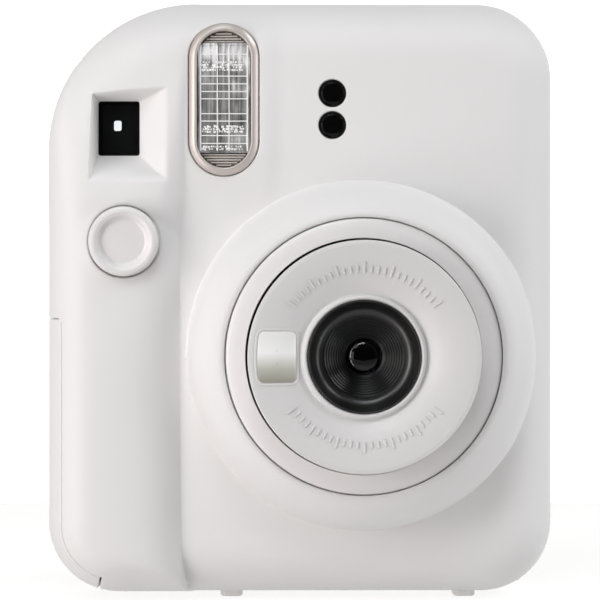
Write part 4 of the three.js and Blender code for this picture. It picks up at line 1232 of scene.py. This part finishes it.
def mirror_material():
    """Convex mirror plate with a painted reflection in its colour: bright at the top, falling to a warm grey-green at
    the foot.
    """
    m, nt, b = new_material("mirror_painted_reflection")
    N, L = nt.nodes, nt.links
    tc = N.new("ShaderNodeTexCoord")
    sep = N.new("ShaderNodeSeparateXYZ"); L.new(tc.outputs["Object"], sep.inputs[0])
    # painted reflection: the colour runs by height from grey-green at the foot to white at the top, in place of the
    # room the mirror would reflect
    mr = N.new("ShaderNodeMapRange"); mr.inputs["From Min"].default_value = 0.0447; mr.inputs["From Max"].default_value = 0.0547
    L.new(sep.outputs["Z"], mr.inputs["Value"])
    noise = N.new("ShaderNodeTexNoise"); noise.inputs["Scale"].default_value = 160.0
    L.new(tc.outputs["Object"], noise.inputs["Vector"])
    add = N.new("ShaderNodeMath"); add.operation = "MULTIPLY_ADD"; add.inputs[1].default_value = 0.08
    L.new(noise.outputs["Fac"], add.inputs[0]); L.new(mr.outputs["Result"], add.inputs[2])
    cr = N.new("ShaderNodeValToRGB")
    e = cr.color_ramp.elements
    e[0].position = 0.06; e[0].color = (0.36, 0.34, 0.29, 1)
    e[1].position = 0.95; e[1].color = (0.92, 0.92, 0.91, 1)
    for p, c in ((0.3, (0.55, 0.55, 0.48, 1)), (0.5, (0.82, 0.82, 0.78, 1)), (0.62, (1.0, 1.0, 0.99, 1))):
        x = cr.color_ramp.elements.new(p); x.color = c
    L.new(add.outputs[0], cr.inputs["Fac"])
    L.new(cr.outputs["Color"], b.inputs["Base Color"])
    b.inputs["Metallic"].default_value = 0.08
    rr = N.new("ShaderNodeMapRange"); rr.inputs["To Min"].default_value = 0.34; rr.inputs["To Max"].default_value = 0.42
    L.new(noise.outputs["Fac"], rr.inputs["Value"]); L.new(rr.outputs["Result"], b.inputs["Roughness"])
    bump = N.new("ShaderNodeBump"); bump.inputs["Strength"].default_value = 0.05; bump.inputs["Distance"].default_value = 0.00002
    L.new(noise.outputs["Fac"], bump.inputs["Height"]); L.new(bump.outputs["Normal"], b.inputs["Normal"])
    return m


def foil_painted_reflection_material():
    """Finely ribbed window with the foil seen through it, painted into an opaque colour: upright streaks of light and
    dark are a painted reflection of the foil, and a painted highlight makes it brighter near the top.
    """
    m, nt, b = new_material("flash_window_painted_reflection")
    N, L = nt.nodes, nt.links
    tc = N.new("ShaderNodeTexCoord")
    # painted reflection: fine upright streaks of light and dark
    mp = N.new("ShaderNodeMapping"); mp.inputs["Scale"].default_value = (1900, 60, 95)
    L.new(tc.outputs["Object"], mp.inputs["Vector"])
    ns = N.new("ShaderNodeTexNoise"); ns.inputs["Scale"].default_value = 1.0; ns.inputs["Detail"].default_value = 3.0
    L.new(mp.outputs["Vector"], ns.inputs["Vector"])
    mp2 = N.new("ShaderNodeMapping"); mp2.inputs["Scale"].default_value = (320, 30, 260)
    L.new(tc.outputs["Object"], mp2.inputs["Vector"])
    n2 = N.new("ShaderNodeTexNoise"); n2.inputs["Scale"].default_value = 1.0; n2.inputs["Detail"].default_value = 2.0
    L.new(mp2.outputs["Vector"], n2.inputs["Vector"])
    sep = N.new("ShaderNodeSeparateXYZ"); L.new(tc.outputs["Object"], sep.inputs[0])
    # painted highlight: the colour grows lighter towards the top of the window
    up = N.new("ShaderNodeMapRange"); up.interpolation_type = "SMOOTHSTEP"
    up.inputs["From Min"].default_value = 0.1045; up.inputs["From Max"].default_value = 0.109
    up.inputs["To Min"].default_value = 0.0; up.inputs["To Max"].default_value = 0.16
    L.new(sep.outputs["Z"], up.inputs["Value"])
    mid = N.new("ShaderNodeMath"); mid.operation = "MULTIPLY_ADD"; mid.inputs[1].default_value = 0.6
    L.new(n2.outputs["Fac"], mid.inputs[0]); L.new(up.outputs["Result"], mid.inputs[2])
    add = N.new("ShaderNodeMath"); add.operation = "MULTIPLY_ADD"; add.inputs[1].default_value = 0.6
    L.new(ns.outputs["Fac"], add.inputs[0]); L.new(mid.outputs[0], add.inputs[2])
    cr = N.new("ShaderNodeValToRGB")
    e = cr.color_ramp.elements
    e[0].position = 0.42; e[0].color = (0.09, 0.09, 0.09, 1)
    e[1].position = 0.84; e[1].color = (0.9, 0.9, 0.91, 1)
    for p, c in ((0.56, (0.22, 0.22, 0.215, 1)), (0.68, (0.38, 0.38, 0.38, 1))):
        x = cr.color_ramp.elements.new(p); x.color = c
    L.new(add.outputs[0], cr.inputs["Fac"])
    L.new(cr.outputs["Color"], b.inputs["Base Color"])
    b.inputs["Metallic"].default_value = 0.0
    b.inputs["Coat Weight"].default_value = 0.3
    rr = N.new("ShaderNodeMapRange"); rr.inputs["To Min"].default_value = 0.2; rr.inputs["To Max"].default_value = 0.4
    L.new(ns.outputs["Fac"], rr.inputs["Value"]); L.new(rr.outputs["Result"], b.inputs["Roughness"])
    return m


M = {
    "shell": surface("shell_plastic", (0.79, 0.782, 0.778), 0.55, grain=0.35, grain_scale=2600, spec=0.35, wear=0.12, tint_var=0.012),
    "lens_trim": surface("lens_plastic", (0.77, 0.755, 0.75), 0.33, grain=0.22, grain_scale=3000, coat=0.1, wear=0.12, tint_var=0.01),
    "flash_trim": surface("champagne_trim", (0.585, 0.535, 0.5), 0.36, metallic=0.32, grain=0.1, grain_scale=2400, coat=0.15, wear=0.2, tint_var=0.04),
    "black_plastic": surface("black_plastic", (0.018, 0.018, 0.019), 0.5, grain=0.5, grain_scale=2200, wear=0.25),
    "black_gloss": surface("black_gloss", (0.003, 0.003, 0.0033), 0.36, grain=0.04, rough_var=0.03, spec=0.95),
    "optical_glass": surface("optical_glass", (0.93, 0.95, 0.97), 0.02, transmission=1.0, ior=1.5, rough_var=0.01, grain=0.02, tint_var=0.01),
    "clear_plastic": surface("clear_plastic", (0.97, 0.98, 0.985), 0.05, transmission=1.0, ior=1.47, rough_var=0.03, grain=0.12, grain_scale=1200, tint_var=0.01),
    "mirror": mirror_material(),
    "steel": surface("steel", (0.55, 0.56, 0.57), 0.32, metallic=1.0, grain=0.3, brushed=(1, 12, 1), rough_var=0.1, wear=0.1),
    "reflector": surface("plated_reflector", (0.88, 0.88, 0.89), 0.14, metallic=1.0, grain=0.25, grain_scale=700, brushed=(6, 1, 0.4), rough_var=0.05),
    "brass": surface("brass", (0.66, 0.5, 0.24), 0.3, metallic=1.0, grain=0.3, rough_var=0.1, tint_var=0.08),
    "circuit_board": surface("circuit_board", (0.03, 0.16, 0.08), 0.42, grain=0.3, coat=0.4, tint_var=0.15),
    "cell_wrap": surface("cell_wrap", (0.07, 0.08, 0.095), 0.3, grain=0.1, coat=0.4, tint_var=0.08),
    "grey_plastic": surface("grey_plastic", (0.16, 0.162, 0.165), 0.48, grain=0.5, grain_scale=2200, wear=0.2),
    "foot_plastic": surface("foot_plastic", (0.8, 0.79, 0.78), 0.6, grain=0.5, grain_scale=1800, wear=0.15),
    "film_window_tint": surface("film_window_tint", (0.75, 0.5, 0.1), 0.12, transmission=0.7, ior=1.47, rough_var=0.05, grain=0.08, tint_var=0.05),
    "dial_white": surface("dial_white", (0.8, 0.79, 0.77), 0.45, grain=0.2, tint_var=0.02),
}
EXTRA = {
    "flash_flutes": surface("flash_flutes", (0.78, 0.74, 0.7), 0.26, metallic=0.2, grain=0.05, coat=0.2),
    "groove_black": surface("groove_black", (0.003, 0.003, 0.0033), 0.3, grain=0.04, rough_var=0.03, spec=0.4),
    # painted reflection of the foil behind the window, in an opaque colour
    "foil": foil_painted_reflection_material(),
    "lens_glass": surface("front_lens_glass", (0.06, 0.065, 0.075), 0.06, transmission=1.0, ior=1.5, rough_var=0.02),
    "blade_black": surface("blackened_steel", (0.012, 0.012, 0.013), 0.45, metallic=0.6, grain=0.3, brushed=(1, 1, 14)),
    # near-white on clear ribs and prisms: partly a frosted moulding, partly painted glints where the clear ridges would
    # catch light
    "flash_rib": surface("moulded_rib_painted_glint", (0.98, 0.98, 0.985), 0.3, ior=1.45, grain=0.2, grain_scale=1500, rough_var=0.05),
    "finder_black": surface("finder_black", (0.003, 0.003, 0.003), 0.7, grain=0.2, rough_var=0.05, spec=0.15),
    "lens_disc": surface("lens_disc_plastic", (0.685, 0.676, 0.672), 0.36, grain=0.22, grain_scale=3000, coat=0.06, wear=0.12, tint_var=0.01),
    "dark_glass": surface("dark_glass", (0.02, 0.02, 0.022), 0.05, grain=0.02, rough_var=0.02, coat=0.5),
    "sensor_glass": surface("sensor_window", (0.002, 0.002, 0.002), 0.07, grain=0.02, rough_var=0.03, coat=0.15, spec=0.3, wear=0.0),
}


def place(name, vf, body, nodes, slot_name, smooth=True, auto=38, material=None):
    V, F = vf
    o = make_object(name, V, F, smooth, auto)
    o.data.materials.append(material or M[slot_name])
    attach(o, body)
    if nodes:
        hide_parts(*nodes)
    return o


SLOT_OF = {p["node"]: p["material_slot"] for p in frame["record"]["subparts"]}
for n, o in frame["nodes"].items():
    o.data.materials.clear()
    o.data.materials.append(EXTRA["blade_black"] if n.startswith("shutter_blade") else M[SLOT_OF.get(n, "grey_plastic")])
    o.data.shade_smooth()
    o.data.set_sharp_from_angle(angle=math.radians(32))

# ------------------------------------------------------------------ pieces
place("front_cover_skin", build_front(), "housing", ["front_cover"], "shell", auto=50)
place("battery_cover_skin", build_battery_cover(), "battery_cover_body", ["battery_cover"], "shell", auto=50)
place("rear_housing_skin", build_rear(), "housing", ["rear_housing"], "shell", auto=50)
place("back_cover_skin", build_door(), "door", ["back_cover"], "shell", auto=50)
place("twist_ring_visual", build_ring(), "lens_ring", ["twist_ring"], "lens_trim")
place("lens_barrel_visual", build_barrel(), "barrel", ["lens_barrel"], "lens_trim")
place("lens_face_visual", build_faceplate(), "barrel", ["lens_faceplate"], "lens_trim", material=EXTRA["lens_disc"])
place("lens_face_scale", build_ticks(), "barrel", [], "lens_trim", auto=30, material=EXTRA["lens_disc"])
place("lens_funnel_visual", build_funnel(), "barrel", ["lens_funnel"], "black_gloss", material=EXTRA["groove_black"])
place("lens_gloss_ring", build_gloss_ring(), "barrel", [], "black_gloss")
place("front_lens_visual", build_front_lens(), "barrel", ["front_lens"], "optical_glass", material=EXTRA["lens_glass"])
plate, rim_ = build_mirror()
place("mirror_plate", plate, "barrel", ["selfie_mirror"], "mirror")
place("mirror_frame", rim_, "barrel", [], "lens_trim", material=EXTRA["lens_disc"])
place("flash_bezel_visual", build_flash_bezel(), "housing", ["flash_bezel"], "flash_trim", auto=60)
place("flash_ends", build_flash_ends(), "housing", [], "flash_trim", material=EXTRA["flash_flutes"])
place("flash_lens_visual", build_flash_lens(), "housing", ["flash_lens"], "clear_plastic", material=EXTRA["foil"])
place("flash_ribs", build_flash_ribs(), "housing", [], "clear_plastic", material=EXTRA["flash_rib"], auto=20)
place("flash_reflector_visual", build_reflector(), "housing", ["flash_reflector"], "reflector", auto=60)
place("finder_window_visual", build_finder_window(), "housing", ["finder_front_window"], "optical_glass")
place("finder_bezel", build_finder_bezel(), "housing", [], "black_plastic", auto=30, material=EXTRA["finder_black"])
place("finder_tube_visual", build_finder_tube(), "housing", ["finder_tube"], "black_plastic", auto=30)
place("eyepiece_frame_visual", build_eyepiece(), "housing", ["eyepiece_frame"], "black_plastic", auto=40)
place("eyepiece_lens_visual", build_eyepiece_lens(), "housing", ["eyepiece_lens"], "optical_glass")
place("shutter_button_visual", build_button(), "button", ["shutter_button"], "lens_trim", auto=50)
for nm, z in zip(("sensor_window_upper", "sensor_window_lower"), SNZ):
    place(nm + "_visual", build_sensor(z), "housing", [nm], "black_gloss", material=EXTRA["sensor_glass"], auto=50)

# ------------------------------------------------------------------ stage: floor, world, lights, camera
def build_stage():
    me = bpy.data.meshes.new("floor")
    n = 96                                   # a round table top, pale paper, edge well clear of the object
    me.from_pydata([(0.34 * math.cos(2 * math.pi * k / n), 0.34 * math.sin(2 * math.pi * k / n) - 0.06, 0) for k in range(n)], [], [tuple(range(n))])
    fl = bpy.data.objects.new("floor", me)
    bpy.context.scene.collection.objects.link(fl)
    m, nt, b = new_material("floor_paper")
    N, L = nt.nodes, nt.links
    tc = N.new("ShaderNodeTexCoord"); ns = N.new("ShaderNodeTexNoise"); ns.inputs["Scale"].default_value = 30
    L.new(tc.outputs["Object"], ns.inputs["Vector"])
    mr = N.new("ShaderNodeMapRange"); mr.inputs["To Min"].default_value = 0.88; mr.inputs["To Max"].default_value = 0.9
    L.new(ns.outputs["Fac"], mr.inputs["Value"]); L.new(mr.outputs["Result"], b.inputs["Roughness"])
    b.inputs["Base Color"].default_value = (0.9, 0.9, 0.9, 1)
    b.inputs["Specular IOR Level"].default_value = 0.05
    b.inputs["Alpha"].default_value = FLOOR_ALPHA         # a pale frosted acrylic table
    me.materials.append(m)
    return fl


FLOOR_ALPHA = 0.35
WORLD_BACK, WORLD_SIDE, WORLD_FRONT, WORLD_BELOW = 1.22, 0.09, 0.03, 0.45
build_stage()

sc = bpy.context.scene
w = bpy.data.worlds.new("studio"); sc.world = w; w.use_nodes = True
nt = w.node_tree; N, L = nt.nodes, nt.links
bg = N["Background"]
tc = N.new("ShaderNodeTexCoord"); sep = N.new("ShaderNodeSeparateXYZ"); L.new(tc.outputs["Generated"], sep.inputs[0])
# behind the object a white backdrop, softer at the sides, a dark room in front, and pale paper below the table


def world_ramp(a, b, lo, hi, axis="Y"):
    r = N.new("ShaderNodeMapRange"); r.interpolation_type = "SMOOTHSTEP"
    r.inputs["From Min"].default_value = a; r.inputs["From Max"].default_value = b
    r.inputs["To Min"].default_value = lo; r.inputs["To Max"].default_value = hi
    L.new(sep.outputs[axis], r.inputs["Value"])
    return r.outputs["Result"]


wsum = N.new("ShaderNodeMath"); wsum.operation = "ADD"
L.new(world_ramp(0.55, 0.95, WORLD_SIDE, WORLD_BACK), wsum.inputs[0])
L.new(world_ramp(-0.88, -0.7, WORLD_FRONT - WORLD_SIDE, 0.0), wsum.inputs[1])
wlow = N.new("ShaderNodeMath"); wlow.operation = "ADD"
L.new(wsum.outputs[0], wlow.inputs[0])
L.new(world_ramp(-0.5, -0.25, WORLD_BELOW, 0.0, "Z"), wlow.inputs[1])
L.new(wlow.outputs[0], bg.inputs["Strength"])
bg.inputs["Color"].default_value = (1.0, 0.995, 0.99, 1)


def area(name, loc, target, size, energy, color=(1, 1, 1), size_y=None):
    d = bpy.data.lights.new(name, "AREA")
    d.energy = energy; d.size = size; d.color = color
    if size_y:
        d.shape = "RECTANGLE"; d.size_y = size_y
    o = bpy.data.objects.new(name, d)
    o.location = loc
    o.rotation_euler = (Vector(target) - Vector(loc)).to_track_quat("-Z", "Y").to_euler()
    sc.collection.objects.link(o)
    return o


# softboxes, by azimuth and elevation round the object: a large low one from the left, softer ones above, and one from the right
GAIN = 0.98
for nm, az, el, watts, tone in (("left_low", -55, 5, 4.0, (1.02, 1.01, 0.97)), ("left_below", -50, -25, 3.3, (1.08, 0.96, 0.96)),
                                ("left_high", -55, 30, 1.6, (1.03, 0.965, 1.005)), ("front_left", -35, 0, 0.75, (1.02, 1.0, 0.98)),
                                ("front_high", -10, 50, 2.9, (0.966, 0.998, 1.036)), ("front_left_high", -30, 35, 0.9, (1.0, 1.0, 1.0)),
                                ("top", 0, 75, 0.8, (0.98, 1.01, 1.01)), ("right_side", 80, 40, 4.4, (0.987, 0.999, 1.014)),
                                ("right_low", 80, 5, 2.6, (1.03, 0.969, 1.002)), ("right_below", 75, -22, 2.1, (0.966, 1.033, 1.0))):
    a_, e_ = math.radians(az), math.radians(el)
    r_ = 0.7 if az < -40 else 1.1            # those on the left stand closer, so their light falls off to the right
    area(nm, (r_ * math.sin(a_) * math.cos(e_), -r_ * math.cos(a_) * math.cos(e_), 0.06 + r_ * math.sin(e_)), (0, 0, 0.06), 0.45 * r_ / 1.1,
         watts * GAIN * (r_ / 1.1) ** 2, tone)

cam = bpy.data.cameras.new("camera")
cam.lens = 173.4; cam.sensor_width = 36; cam.clip_start = 0.01; cam.clip_end = 50
cam.dof.use_dof = False
co_ = bpy.data.objects.new("camera", cam)
co_.location = (-0.0035, -0.596, 0.0608)
co_.rotation_euler = (math.pi / 2, 0, -math.atan(0.0035 / 0.6))
sc.collection.objects.link(co_)
sc.camera = co_
sc.view_settings.view_transform = "Standard"
